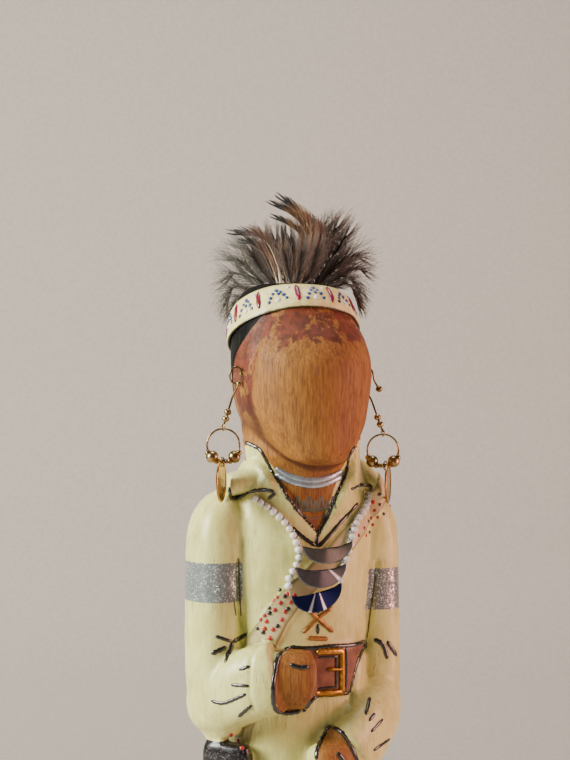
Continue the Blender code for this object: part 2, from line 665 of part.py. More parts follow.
def earring(hand, name_end, drop, stand, surface, metal, coin_metal):
    """The wire, the beaded hoop and the coin at one side of the head.

    The coin rests in front of the shoulder, so wire and hoop lean forward as far as that takes.
    """
    half_wire = WIRE_DIAMETER / 2
    radius = HOOP_DIAMETER / 2
    disc = COIN_DIAMETER / 2
    start = surface.tree.ray_cast(lift((hand * 60.0, -7.0, EAR_HEIGHT)), Vector((-hand, 0, 0)))[0]
    start = start + Vector((hand * (FIT_GAP + half_wire), 0, 0))
    coin_x = start.x + hand * (stand + COIN_OUT)
    low = start.z - drop - HOOP_DIAMETER - COIN_DIAMETER - 2 * WIRE_DIAMETER - 2 * FIT_GAP
    forward = max(COIN_THICKNESS, start.y - coin_clearance(surface, coin_x, low))

    wire = [start]
    for step in range(7):
        angle = math.pi * (1.0 - 1.6 * step / 6)
        wire.append(start + EAR_LOOP / 2 * Vector((hand * (1 + math.cos(angle)), 0.0, math.sin(angle))))
    foot = start + Vector((hand * stand, -forward / 2, -drop))
    bend = start + Vector((hand * stand / 2, -forward / 5, -0.4 * drop))
    wire += [bend, bend.lerp(foot, 0.5), foot]
    path = smooth_path(wire, 3)
    total = path_length(path)
    ball = HOOK_BALL_DIAMETER
    threaded("ear_hook_" + name_end, path, WIRE_DIAMETER, ((total - 2.1 * ball, ball), (total - 1.05 * ball, ball)),
             metal)

    across = Matrix.Rotation(FAN_TURN, 3, "Z") @ Vector((1, 0, 0))
    down = Vector((hand * COIN_OUT, -forward / 2, -HOOP_DIAMETER)).normalized()
    centre = foot + down * (FIT_GAP + WIRE_DIAMETER + radius)
    ring = [centre + across * radius * math.sin(angle) - down * radius * math.cos(angle)
            for angle in (2 * math.pi * step / 48 for step in range(49))]
    around = path_length(ring)
    hoop_beads = tuple((around * (0.5 + turn), HOOP_BEAD_DIAMETER) for turn in (-HOOP_BEAD_TURN, HOOP_BEAD_TURN))
    threaded("ear_hoop_" + name_end, ring, WIRE_DIAMETER, hoop_beads, metal, closed=True)

    hang = centre + down * radius - Vector((0, 0, half_wire + FIT_GAP + disc))
    turn = Matrix.Rotation(COIN_TURN, 3, "Z")
    rings = []
    for offset, part in ((-0.5, 0.95), (0.0, 1.0), (0.5, 0.95)):
        rings.append([hang + turn @ Vector((offset * COIN_THICKNESS, disc * part * math.cos(angle),
                                            disc * part * math.sin(angle)))
                      for angle in (2 * math.pi * step / 22 for step in range(22))])
    bm = bmesh.new()
    skin(bm, rings)
    new_object("ear_coin_" + name_end, bm, coin_metal, 30)


RIGHT_STRAND = (
    (-21.3, 210.3), (-16.7, 206.2), (-12.5, 201.1), (-9.3, 194.8), (-8.6, 189.0), (-11.5, 181.0), (-11.6, 176.0),
)
LEFT_STRAND = (
    (24.0, 210.6), (20.7, 206.1), (15.5, 201.7), (12.6, 196.5), (10.3, 189.5), (8.4, 184.2), (6.6, 178.0),
)


def strand(name, places, surface, material):
    """One side of the necklace, large and small beads in turn, laid on the chest."""
    proud = BEAD_DIAMETER / 2 + FIT_GAP * 1.5
    points = [surface.from_front(side, height, proud) for side, height in places]
    path = smooth_path(points)
    total = path_length(path)
    pitch = (BEAD_DIAMETER + SMALL_BEAD_DIAMETER) / 2 * 0.96
    count = int(total / pitch)
    beads = []
    for index in range(count):
        diameter = BEAD_DIAMETER if index % 2 == 0 else SMALL_BEAD_DIAMETER
        beads.append((BEAD_DIAMETER * 0.6 + index * pitch, diameter))
    beads = [bead for bead in beads if bead[0] < total - BEAD_DIAMETER * 0.6]
    return threaded(name, path, THREAD_DIAMETER, beads, material)


GORGETS = (
    ("gorget_top", 0.8, 193.9, 0.0070, 3.0),
    ("gorget_middle", -1.8, 186.2, 0.0078, 1.0),
    ("gorget_bottom", -3.4, 177.8, 0.0078, 11.0),
)


def gorget(name, side, height, drop, tilt, surface, material):
    """A crescent plate that hangs in front of the beads."""
    clear = BEAD_DIAMETER + FIT_GAP * 3
    half = GORGET_WIDTH / 2
    nearest = min(surface.front_depth(side + x / SHARE, height - z)
                  for x in (-half, -half / 2, 0.0, half / 2, half) for z in (0.0, drop / SHARE))
    turn = Matrix.Rotation(math.radians(-tilt), 3, "Y")
    count = 10
    top = []
    bottom = []
    for step in range(count + 1):
        angle = math.pi * step / count
        across = -math.cos(angle) * half
        bottom.append(Vector((across, 0, -math.sin(angle) * drop)))
        top.append(Vector((across * 0.97, 0, 0.0006 - math.sin(angle) * drop * 0.2)))
    middle = lift((side, 0.0, height))
    middle.y = nearest - clear
    front = [middle + turn @ p for p in bottom + top[::-1]]
    bm = bmesh.new()
    rings = [[point + Vector((0, offset * GORGET_THICKNESS, 0)) for point in front] for offset in (0.0, -1.0)]
    rows = [[bm.verts.new(point) for point in ring] for ring in rings]
    length = len(front)
    for i in range(length):
        j = (i + 1) % length
        bm.faces.new((rows[0][i], rows[0][j], rows[1][j], rows[1][i]))
    for row in rows:
        for i in range(count):
            bm.faces.new((row[i], row[i + 1], row[length - 2 - i], row[length - 1 - i]))
    return new_object(name, bm, material, 30)


def main():
    """Model the doll."""
    for obj in list(bpy.data.objects):
        bpy.data.objects.remove(obj, do_unlink=True)
    figure = carved_figure(finish("Painted wood", (0.72, 0.74, 0.44), 0.45))
    base(finish("Plain wood", (0.42, 0.22, 0.09), 0.5))
    surface = Surface(figure)
    headband(surface, finish("Band leather", (0.80, 0.68, 0.30), 0.5))
    feathers(surface, {"blade": finish("Rust feather", (0.24, 0.10, 0.03), 0.6),
                       "tuft": finish("Down", (0.12, 0.09, 0.06), 0.9)})
    silver = finish("Antique brass", (0.55, 0.42, 0.20), 0.35, 1.0)
    gold = finish("Coin brass", (0.60, 0.38, 0.10), 0.3, 1.0)
    earring(-1, "right", RIGHT_EAR_DROP, RIGHT_EAR_STAND, surface, silver, gold)
    earring(1, "left", LEFT_EAR_DROP, LEFT_EAR_STAND, surface, silver, gold)
    white = finish("White glass beads", (0.85, 0.85, 0.83), 0.25)
    strand("necklace_right_strand", RIGHT_STRAND, surface, white)
    strand("necklace_left_strand", LEFT_STRAND, surface, white)
    steel = finish("Dark mirror plate", (0.20, 0.20, 0.20), 0.2, 1.0)
    for name, side, height, drop, tilt in GORGETS:
        gorget(name, side, height, drop, tilt, surface, steel)


main()
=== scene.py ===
"""The finishes and fine shapes of a carved and painted wooden doll without a face.

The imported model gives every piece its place. The classes below make the fine carving, the paint, the
feathers, the beads and the metal, and lay them where the model's own pieces are.
"""
import logging
from dataclasses import dataclass, field
from enum import Enum
from math import atan2, copysign, cos, pi, radians, sin, sqrt
from typing import Any, Callable, Iterable, Optional, Sequence

import bmesh
import bpy
import numpy as np
from bpy.types import Material, Mesh, Node, NodeSocket, NodeTree, Object
from mathutils import Matrix, Vector
from mathutils.bvhtree import BVHTree


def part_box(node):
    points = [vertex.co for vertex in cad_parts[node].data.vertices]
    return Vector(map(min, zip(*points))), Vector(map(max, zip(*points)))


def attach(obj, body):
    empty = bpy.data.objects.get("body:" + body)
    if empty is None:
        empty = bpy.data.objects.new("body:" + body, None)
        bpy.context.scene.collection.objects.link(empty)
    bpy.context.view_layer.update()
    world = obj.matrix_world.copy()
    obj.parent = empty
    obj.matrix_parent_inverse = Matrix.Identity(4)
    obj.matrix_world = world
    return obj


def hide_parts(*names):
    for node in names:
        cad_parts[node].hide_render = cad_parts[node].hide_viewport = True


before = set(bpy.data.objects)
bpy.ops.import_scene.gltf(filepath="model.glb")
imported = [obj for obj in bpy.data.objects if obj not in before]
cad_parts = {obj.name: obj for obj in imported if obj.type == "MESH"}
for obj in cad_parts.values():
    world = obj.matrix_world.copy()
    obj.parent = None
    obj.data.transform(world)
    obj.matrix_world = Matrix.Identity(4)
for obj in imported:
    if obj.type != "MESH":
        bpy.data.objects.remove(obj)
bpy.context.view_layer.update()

LOG = logging.getLogger("doll")

Row = Sequence[float]
Place = tuple[Vector, Vector]

MM = 0.001
SHARES = 288
SOLE_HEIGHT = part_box("carved_figure")[0][2]
SHARE = (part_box("carved_figure")[1][2] - SOLE_HEIGHT) / SHARES
BODY = "root"
ACROSS, AHEAD, UPWARD = Vector((1, 0, 0)), Vector((0, 1, 0)), Vector((0, 0, 1))


class Zone(Enum):
    """What a stretch of the carving stands for."""

    SHIRT = "shirt"
    SKIN = "skin"
    SLEEVE = "sleeve"
    POUCH = "pouch"
    LEG = "leg"
    SHOE = "shoe"


@dataclass(frozen=True)
class PhotoView:
    """The photograph's viewpoint, level with the head and to the figure's right."""

    turn: float = radians(-25.0)
    distance: float = 0.65
    eye_height: float = 0.265
    aim_side: float = -0.0032
    pixel: float = 0.00037
    width: int = 570
    height: int = 760

    def right(self) -> Vector:
        """The way that is right in the picture."""
        return Vector((cos(self.turn), sin(self.turn), 0.0))

    def back(self) -> Vector:
        """The way from the figure to the eye."""
        return Vector((sin(self.turn), -cos(self.turn), 0.0))

    def aim(self) -> Vector:
        """The place in the middle of the picture."""
        return self.right() * self.aim_side + Vector((0.0, 0.0, self.eye_height))

    def eye(self) -> Vector:
        """Where the camera stands."""
        return self.aim() + self.back() * self.distance

    def toward(self, px: float, py: float) -> Vector:
        """The direction from the eye through a pixel.

        Args:
            px: Pixels from the picture's left edge.
            py: Pixels from its top edge.

        Returns:
            A unit vector.
        """
        across = self.right() * ((px - self.width / 2) * self.pixel)
        up = Vector((0.0, 0.0, (self.height / 2 - py) * self.pixel))
        return (self.aim() + across + up - self.eye()).normalized()

    def place(self, px: float, py: float, depth: float) -> Vector:
        """The place seen at a pixel, some way beyond the figure's axis (negative is nearer)."""
        way = self.toward(px, py)
        reach = (self.distance + depth) / -way.dot(self.back())
        return self.eye() + way * reach

    def pixels(self, places: np.ndarray) -> tuple[np.ndarray, np.ndarray]:
        """Where many places lie in the picture, across and down."""
        away = places - np.array(self.eye())
        scale = self.distance / self.pixel / -(away @ np.array(self.back()))
        return self.width / 2 + away @ np.array(self.right()) * scale, self.height / 2 - away[:, 2] * scale

    def build_camera(self) -> None:
        """Set up the camera."""
        lens = bpy.data.cameras.new("Camera")
        lens.sensor_fit = "VERTICAL"
        lens.sensor_height = 36.0
        lens.lens = 36.0 * self.distance / (self.height * self.pixel)
        camera = bpy.data.objects.new("Camera", lens)
        camera.location = self.eye()
        camera.rotation_euler = Matrix((self.right(), UPWARD, self.back())).transposed().to_euler()
        bpy.context.scene.collection.objects.link(camera)
        bpy.context.scene.camera = camera


VIEW = PhotoView()


class Graph:
    """A node tree that is being wired up."""

    def __init__(self, tree: NodeTree) -> None:
        """Keep the tree."""
        self.tree = tree

    def feed(self, socket: NodeSocket, value: Any) -> None:
        """Link a socket, or set its plain value."""
        if isinstance(value, NodeSocket):
            self.tree.links.new(value, socket)
        elif value is not None:
            if socket.type == "RGBA" and len(value) == 3:
                value = (*value, 1.0)
            socket.default_value = value

    def node(self, kind: str, inputs: Optional[dict] = None, **settings: Any) -> Node:
        """Add a node.

        Args:
            kind: The node's type.
            inputs: Socket name or number to a value or another socket.
            **settings: Properties of the node.

        Returns:
            The new node.
        """
        made = self.tree.nodes.new(kind)
        for name, value in settings.items():
            setattr(made, name, value)
        for key, value in (inputs or {}).items():
            self.feed(made.inputs[key], value)
        return made

    def math(self, operation: str, first: Any, second: Any = None) -> NodeSocket:
        """One sum on numbers."""
        made = self.node("ShaderNodeMath", {0: first}, operation=operation)
        if second is not None:
            self.feed(made.inputs[1], second)
        return made.outputs[0]

    def mix(self, factor: Any, first: Any, second: Any) -> NodeSocket:
        """Mix two colours."""
        return self.node("ShaderNodeMix", {0: factor, 6: first, 7: second}, data_type="RGBA").outputs[2]

    def blend(self, factor: Any, first: Any, second: Any) -> NodeSocket:
        """Mix two numbers."""
        return self.node("ShaderNodeMix", {0: factor, 2: first, 3: second}).outputs[0]

    def band(self, value: Any, low: float, high: float, start: float = 0.0, end: float = 1.0) -> Any:
        """A number that rises smoothly from start to end while the value goes from low to high."""
        made = self.node("ShaderNodeMapRange", {0: value, 1: low, 2: high, 3: start, 4: end},
                         interpolation_type="SMOOTHSTEP")
        return made.outputs[0]

    def attribute(self, name: str) -> NodeSocket:
        """A number kept on the mesh's points."""
        return self.node("ShaderNodeAttribute", attribute_name=name).outputs["Fac"]

    def object_place(self, stretch: Sequence[float] = (1, 1, 1), turn: Sequence[float] = (0, 0, 0)) -> Any:
        """The place on the object, stretched."""
        where = self.node("ShaderNodeTexCoord").outputs["Object"]
        made = self.node("ShaderNodeMapping", {"Vector": where, "Scale": stretch, "Rotation": turn})
        return made.outputs[0]

    def noise(self, vector: Any, scale: float, detail: float = 3.0, rough: float = 0.55,
              twist: float = 0.0) -> NodeSocket:
        """A cloudy number."""
        made = self.node("ShaderNodeTexNoise", {"Vector": vector, "Scale": scale, "Detail": detail,
                                                "Roughness": rough, "Distortion": twist})
        return made.outputs["Fac"]

    def bump(self, height: Any, distance: float) -> NodeSocket:
        """A normal from a height."""
        made = self.node("ShaderNodeBump", {"Height": height, "Distance": distance, "Strength": 1.0})
        return made.outputs[0]


class ShaderGroup:
    """A shader node group with named inputs and outputs."""

    def __init__(self, name: str, inputs: dict, outputs: Sequence[str],
                 wire: Callable[[Graph, dict], dict]) -> None:
        """Build the group.

        Args:
            name: The group's name.
            inputs: Socket name to its usual value, a number or a colour.
            outputs: Names of what it puts out; one that ends in Color is a colour.
            wire: Makes the nodes and returns output name to socket.
        """
        self.tree = bpy.data.node_groups.new(name, "ShaderNodeTree")
        for label, value in inputs.items():
            kind = "NodeSocketColor" if isinstance(value, tuple) else "NodeSocketFloat"
            socket = self.tree.interface.new_socket(label, in_out="INPUT", socket_type=kind)
            socket.default_value = (*value, 1.0) if isinstance(value, tuple) else value
        for label in outputs:
            kind = "NodeSocketColor" if label.endswith("Color") else "NodeSocketFloat"
            self.tree.interface.new_socket(label, in_out="OUTPUT", socket_type=kind)
        graph = Graph(self.tree)
        entry = graph.node("NodeGroupInput")
        leave = graph.node("NodeGroupOutput")
        made = wire(graph, {label: entry.outputs[label] for label in inputs})
        for label in outputs:
            graph.feed(leave.inputs[label], made[label])

    def place(self, graph: Graph, **values: Any) -> Node:
        """Put the group in a material, with its own values for the named inputs."""
        made = graph.node("ShaderNodeGroup", node_tree=self.tree)
        for label, value in values.items():
            graph.feed(made.inputs[label.replace("_", " ")], value)
        return made


def lift(point: Row) -> Vector:
    """A place given in shares of the figure, in metres above the floor."""
    return Vector((point[0] * SHARE, point[1] * SHARE, SOLE_HEIGHT + point[2] * SHARE))


def smooth_rows(rows: Sequence[Row], steps: int) -> list[np.ndarray]:
    """Rows along a smooth curve through the given rows.

    Args:
        rows: Rows of numbers to pass through.
        steps: Steps between each two.

    Returns:
        The rows, the first and last as given.
    """
    table = np.array([tuple(row) for row in rows], dtype=float)
    padded = np.vstack([2 * table[0] - table[1], table, 2 * table[-1] - table[-2]])
    result = []
    for index in range(1, len(padded) - 2):
        before, start, end, after = padded[index - 1:index + 3]
        for step in range(steps):
            t = step / steps
            result.append(0.5 * (2 * start + (end - before) * t
                                 + (2 * before - 5 * start + 4 * end - after) * t ** 2
                                 + (3 * start - before - 3 * end + after) * t ** 3))
    result.append(table[-1])
    return result


def smooth_path(points: Iterable[Vector], steps: int = 6) -> list[Vector]:
    """A smooth path through places."""
    return [Vector(row) for row in smooth_rows([tuple(point) for point in points], steps)]


def path_length(points: Sequence[Vector]) -> float:
    """The length of a path."""
    return sum((end - start).length for start, end in zip(points, points[1:]))


def along_path(points: Sequence[Vector], position: float) -> Vector:
    """The place at a distance along a path."""
    for start, end in zip(points, points[1:]):
        stretch = (end - start).length
        if position <= stretch:
            return start.lerp(end, position / max(stretch, 1e-9))
        position -= stretch
    return points[-1].copy()


def evened(points: Sequence[Vector], spacing: float) -> list[Vector]:
    """The same path with its points a steady distance apart."""
    total = path_length(points)
    count = max(2, int(round(total / spacing)))
    return [along_path(points, total * index / count) for index in range(count + 1)]


def section(centre: Vector, side: Vector, up: Vector, half_side: float, half_up: float,
            power: float, count: int) -> list[Vector]:
    """Points of one rounded section, in the plane of the two unit vectors."""
    points = []
    for index in range(count):
        angle = 2 * pi * index / count
        across = copysign(abs(cos(angle)) ** (2 / power), cos(angle)) * half_side
        along = copysign(abs(sin(angle)) ** (2 / power), sin(angle)) * half_up
        points.append(centre + side * across + up * along)
    return points


def skin(bm: bmesh.types.BMesh, rings: Sequence[Sequence[Vector]], closed: bool = False) -> None:
    """Faces between rings, with a fan over each end unless the rings close on themselves."""
    rows = [[bm.verts.new(point) for point in ring] for ring in rings]
    count = len(rows[0])
    pairs = list(zip(rows, rows[1:]))
    if closed:
        pairs.append((rows[-1], rows[0]))
    for low, high in pairs:
        for index in range(count):
            following = (index + 1) % count
            bm.faces.new((low[index], low[following], high[following], high[index]))
    if closed:
        return
    for row, turned in ((rows[0], True), (rows[-1], False)):
        middle = bm.verts.new(sum((vert.co for vert in row), Vector()) / count)
        for index in range(count):
            first, second = row[index], row[(index + 1) % count]
            bm.faces.new((second, first, middle) if turned else (first, second, middle))


def new_piece(name: str, bm: bmesh.types.BMesh, material: Material,
              crease: Optional[float] = None) -> Object:
    """A named object at the origin, from a bmesh whose faces are turned outwards.

    Args:
        name: The piece's name.
        bm: Its shape, which is freed.
        material: Its finish.
        crease: Degrees past which an edge stays sharp; smooth all over if it's left out.

    Returns:
        The object.
    """
    bmesh.ops.recalc_face_normals(bm, faces=bm.faces)
    mesh = bpy.data.meshes.new(name)
    bm.to_mesh(mesh)
    bm.free()
    mesh.shade_smooth()
    if crease is not None:
        mesh.set_sharp_from_angle(angle=radians(crease))
    mesh.materials.append(material)
    obj = bpy.data.objects.new(name, mesh)
    bpy.context.scene.collection.objects.link(obj)
    return obj


def ringed(name: str, rings: Sequence[Sequence[Vector]], material: Material,
           crease: float, closed: bool = False) -> Object:
    """A named object skinned over rings."""
    bm = bmesh.new()
    skin(bm, rings, closed)
    return new_piece(name, bm, material, crease)


def shaped(obj: Object) -> Mesh:
    """Use up an object's modifiers, so that its mesh is a plain one."""
    graph = bpy.context.evaluated_depsgraph_get()
    mesh = bpy.data.meshes.new_from_object(obj.evaluated_get(graph), depsgraph=graph)
    obj.modifiers.clear()
    obj.data = mesh
    return mesh


class Surface:
    """A finished surface, for laying trims and paint on it."""

    def __init__(self, obj: Object) -> None:
        """Index the object's faces."""
        bm = bmesh.new()
        bm.from_mesh(obj.data)
        self.tree = BVHTree.FromBMesh(bm)
        bm.free()

    def seen(self, px: float, py: float) -> Place:
        """The place and normal seen at a pixel, or the nearest ones where the pixel misses."""
        way = VIEW.toward(px, py)
        hit, normal, _, _ = self.tree.ray_cast(VIEW.eye(), way)
        if hit is None:
            hit, normal, _, _ = self.tree.find_nearest(VIEW.place(px, py, 0.0))
        return hit, normal

    def toward(self, start: Vector, way: Vector) -> Optional[Place]:
        """The place and normal met from a start along a way."""
        hit, normal, _, _ = self.tree.ray_cast(start, way)
        return None if hit is None else (hit, normal)

    def from_front(self, side: float, height: float) -> Place:
        """The place and normal on the front at a side and height in shares."""
        return self.toward(lift((side, -90.0, height)), AHEAD)

    def around(self, angle: float, height: float) -> Optional[Place]:
        """The outermost place and normal at an angle round the figure's axis, at a height in shares."""
        way = Vector((sin(angle), -cos(angle), 0.0))
        return self.toward(lift((0.0, 0.0, height)) + way * 0.1, -way)

    def nearest(self, point: Vector) -> Place:
        """The place and normal nearest to a point."""
        hit, normal, _, _ = self.tree.find_nearest(point)
        return hit, normal


def to_segment(sides: np.ndarray, heights: np.ndarray, start: Row, end: Row) -> np.ndarray:
    """Distance of each place from one straight stretch."""
    dx, dz = end[0] - start[0], end[1] - start[1]
    t = ((sides - start[0]) * dx + (heights - start[1]) * dz) / (dx * dx + dz * dz)
    t = np.clip(t, 0.0, 1.0)
    return np.hypot(sides - start[0] - t * dx, heights - start[1] - t * dz)


def to_line(sides: np.ndarray, heights: np.ndarray, line: Sequence[Row]) -> np.ndarray:
    """Distance of each place from an open line."""
    nearest = np.full(len(sides), np.inf)
    for start, end in zip(line, line[1:]):
        nearest = np.minimum(nearest, to_segment(sides, heights, start, end))
    return nearest


def inside_outline(sides: np.ndarray, heights: np.ndarray, outline: Sequence[Row]) -> np.ndarray:
    """How deep each place lies inside a closed outline, negative outside."""
    inside = np.zeros(len(sides), dtype=bool)
    nearest = np.full(len(sides), np.inf)
    corners = list(outline)
    for (x0, z0), (x1, z1) in zip(corners, corners[1:] + corners[:1]):
        crosses = (z0 > heights) != (z1 > heights)
        slope = (x1 - x0) / (z1 - z0) if z1 != z0 else 0.0
        inside ^= crosses & (sides < x0 + slope * (heights - z0))
        nearest = np.minimum(nearest, to_segment(sides, heights, (x0, z0), (x1, z1)))
    return np.where(inside, nearest, -nearest)


def edge(depth: np.ndarray, softness: float = 0.5) -> np.ndarray:
    """One inside a form, nought outside, with a short slope at its edge."""
    return np.clip(depth / softness + 0.5, 0.0, 1.0)


def ripple(places: np.ndarray, size: float, seed: int) -> np.ndarray:
    """A slow, smooth wobble over the figure, from minus one to one."""
    draw = np.random.default_rng(seed)
    total = np.zeros(len(places))
    for _ in range(6):
        way = draw.normal(size=3)
        way /= np.linalg.norm(way)
        total += np.sin(places @ way * (2 * pi / size) * draw.uniform(0.6, 1.5) + draw.uniform(0, 6.3))
    return total / 4.0


@dataclass(frozen=True)
class Carving:
    """The carved figure: where the knife left each form, in shares of its height."""

    cell: float = 0.00096
    most_triangles: int = 196000
    belt_relief: float = 0.0009
    strap_width: float = 0.0085
    strap_relief: float = 0.0008
    collar_relief: float = 0.0015
    neckline_depth: float = 0.0016
    mask_relief: float = 0.0013
    hair_relief: float = 0.0004
    facet_depth: float = 0.00012
    leg_out: float = 12.8
    collar_side: float = 1.4
    belt_heights: Row = (139.3, 156.6)
    mask_centre: Row = (0.0, 252.5)
    mask_half: Row = (22.6, 31.5)
    pouch_centre: Row = (-30.8, -9.6)
    pouch_turn: float = radians(-52.0)
    pouch_size: Row = (19.5, 8.0)
    pouch_heights: Row = (84.0, 123.0)
    torso: tuple = (
        (72, 0, 29.5, 21.5, 2.5), (76, 0, 30, 22, 2.5), (95, 0, 28.5, 21.5, 2.5),
        (115, 0, 26, 20.5, 2.5), (130, 0, 24.5, 20.3, 2.5), (150, 0, 25, 20.8, 2.5),
        (170, 0, 26, 21.5, 2.5), (188, 0, 27, 21.8, 2.5), (200, 0, 27.5, 21, 2.4),
        (209, 0, 26, 19, 2.3), (216, -1, 22.5, 17.2, 2.2), (222, -2.5, 19.5, 16.2, 2.1),
    )
    neck: tuple = (
        (196, -4, 18, 15, 2), (214, -4.6, 17.4, 15.4, 2), (222, -3.6, 18.4, 16.8, 2),
        (230, -2.6, 19.6, 18.6, 2), (236, -2.6, 20.6, 19.6, 2), (243, -3.2, 20.8, 20.4, 2),
    )
    collar: tuple = (
        (205, -2.5, 24.5, 19.4, 2.1), (213, -3.6, 23.2, 19.8, 2.1), (221, -4.2, 20, 20, 2),
        (229, -4.2, 20.7, 19.6, 2), (231.5, -4.3, 20.1, 19, 2),
    )
    yoke: tuple = (
        (188, 0.5, 33.5, 10.5, 2.8), (192, 0.5, 35, 13, 2.8), (199, 0.5, 35.5, 14.5, 2.8),
        (205, 0.3, 33, 12.8, 2.6), (210, 0.3, 27, 9.5, 2.4),
    )
    head: tuple = (
        (221.5, -19.5, 5, 6.5, 2), (223.5, -17.5, 9.5, 11.5, 2), (227, -14, 13.6, 16.7, 2),
        (232, -9.6, 17.7, 21.2, 2.1), (238, -6.7, 21.4, 24, 2.1), (246, -5.6, 23.1, 26, 2.1),
        (257, -5.2, 24.1, 27, 2.1), (266, -3.3, 23.6, 25.8, 2.1), (274, -0.5, 22, 23.6, 2.1),
        (281, 1.1, 19.9, 21.2, 2.1), (285.5, 1.6, 16.7, 17.7, 2.1), (287.5, 1.6, 11.5, 12, 2),
        (288, 1.6, 4.5, 4.8, 2),
    )
    leg: tuple = (
        (9, 0, 11, 11.5, 2.2), (22, 0.5, 11.5, 11.8, 2.2), (45, 0.5, 13, 13.5, 2.2),
        (62, 0.5, 14, 15, 2.2), (80, 0.5, 14.5, 16, 2.2),
    )
    upper_arm: tuple = (
        (25, 0.5, 208, 5, 8, 2.1), (28.2, 0.3, 205, 8.6, 10.6, 2.2), (30.8, 0, 197, 10.2, 12, 2.3),
        (31.8, 0, 182, 9.8, 12.1, 2.4), (32.2, -0.3, 160, 9.6, 12, 2.4), (32, -1, 144, 9.6, 12, 2.4),
        (31, -2.5, 132, 9, 11.6, 2.3), (29.6, -4, 124, 5.6, 8, 2.2),
    )
    right_wing: tuple = (
        (-14, -5, 217.5, 3, 5.5, 2.2), (-20, -5, 216.6, 2.6, 6, 2.4), (-26, -4.8, 215.4, 2.5, 6, 2.4),
        (-29.5, -4.4, 214.4, 2.3, 5.4, 2.4), (-31.5, -4, 213.2, 1.3, 4, 2.2),
    )
    left_wing: tuple = (
        (15, -5, 223, 3, 6, 2.2), (20, -5, 221, 4.2, 6.5, 2.3), (25.5, -4.8, 217, 4.8, 6.5, 2.3),
        (30, -4.2, 211.3, 4.8, 6, 2.3), (32, -4, 206, 3, 5, 2.2),
    )
    right_forearm: tuple = (
        (-33, 4, 134, 8.5, 9, 2.3), (-32.2, -3.5, 137, 9.6, 12, 2.4),
        (-28.2, -12, 141.6, 9.4, 12.4, 2.5), (-23.2, -19, 145.6, 9, 12.8, 2.6),
        (-17.4, -23.2, 147.4, 8.4, 12.8, 2.7),
    )
    right_fist: tuple = (
        (-20, -22.6, 147.2, 6.4, 9.6, 2.6), (-12, -25, 146.6, 6.9, 10.2, 2.6),
        (-7.2, -25.6, 146.4, 6.7, 10, 2.6), (-5, -25.6, 146.4, 4.6, 7.6, 2.4),
    )
    left_forearm: tuple = (
        (33.2, 4, 134, 8.5, 9.5, 2.3), (31.8, -4, 132, 9.8, 12.4, 2.4),
        (26.2, -12.2, 129, 9.5, 12.5, 2.5), (18.2, -19.4, 124.5, 9.2, 12.6, 2.6),
        (9.8, -24, 117.5, 8.6, 12.6, 2.7),
    )
    left_fist: tuple = (
        (13, -23.4, 117.5, 6.4, 9.4, 2.6), (4.5, -26, 114.8, 6.9, 10.2, 2.6),
        (-2.2, -26.8, 113.2, 6.7, 9.8, 2.6), (-4.6, -27, 112.6, 4.6, 7.6, 2.4),
    )
    foot: tuple = (
        (0, 11.5, 6.6, 8.8, 6.4, 2.4), (0, 7, 7.2, 10.6, 7.2, 2.4), (0, -4, 7.4, 11, 7.4, 2.4),
        (0, -15, 6.2, 11.2, 6.2, 2.3), (0, -23, 5, 9.6, 5, 2.2), (0, -26.5, 4.2, 5.5, 4, 2),
    )
    neckline: tuple = (
        (-19.6, 233), (-18.5, 225), (-15.7, 217), (-9.5, 207.7), (0.2, 196.8),
        (4.8, 203), (9.2, 211.5), (13.4, 219), (15.2, 226), (16.6, 233),
    )
    right_flap: tuple = (
        (-19.6, 232), (-28.5, 219.5), (-31, 209.5), (-22.5, 212.3), (-15.5, 212.6), (-16.2, 218),
        (-18.5, 225),
    )
    left_flap: tuple = (
        (16.6, 232), (19, 224), (28, 215.5), (32.5, 208.5), (27.5, 211.3), (13.6, 214.4), (13.6, 219),
        (15.2, 226),
    )
    strap_front: tuple = (
        (33, 214), (28.8, 208.1), (12.8, 195.5), (-10.5, 175.2), (-15.6, 168), (-19.6, 159), (-27, 122),
    )
    strap_back: tuple = ((31, 214), (22, 200), (0, 165), (-22, 132), (-28.5, 118))
    seen_fist: tuple = (
        (291, 648), (281, 656), (276, 671), (274.5, 697), (279, 711), (290, 713), (302, 710), (311, 699),
        (315, 684), (316, 668), (312, 654), (305, 648),
    )
    seen_hand: tuple = (
        (318, 778), (317, 760), (319, 747), (327, 730), (331, 728), (339, 732), (346, 740), (354, 755),
        (357, 764), (354, 780), (336, 788),
    )
    seen_belt: tuple = (
        (287, 647), (311, 648), (332, 646), (352, 645), (367, 641), (360, 655), (355, 669), (349, 693),
        (332, 695), (316, 697), (303, 712), (296, 690),
    )
    seen_grooves: tuple = (
        (((238.5, 560), (239.5, 590), (241, 616), (245, 632)), 0.0012, 0.7),
        (((377, 562), (374, 590), (371, 607), (367.5, 638)), 0.0011, 0.8),
        (((368, 644), (361, 658), (357, 672), (352, 694), (351.5, 705), (340, 716), (328, 726)), 0.0012, 0.9),
        (((262, 640), (252, 655), (249.5, 675), (250, 695), (254, 710)), 0.0004, 0.6),
    )
    seen_neck: tuple = (
        (222, 425), (238, 438), (245, 442), (259, 449), (265, 458), (277, 480), (294, 506), (318, 534),
        (327, 518), (338, 491), (346, 474), (349, 456), (355, 446), (372, 438), (378, 425),
    )


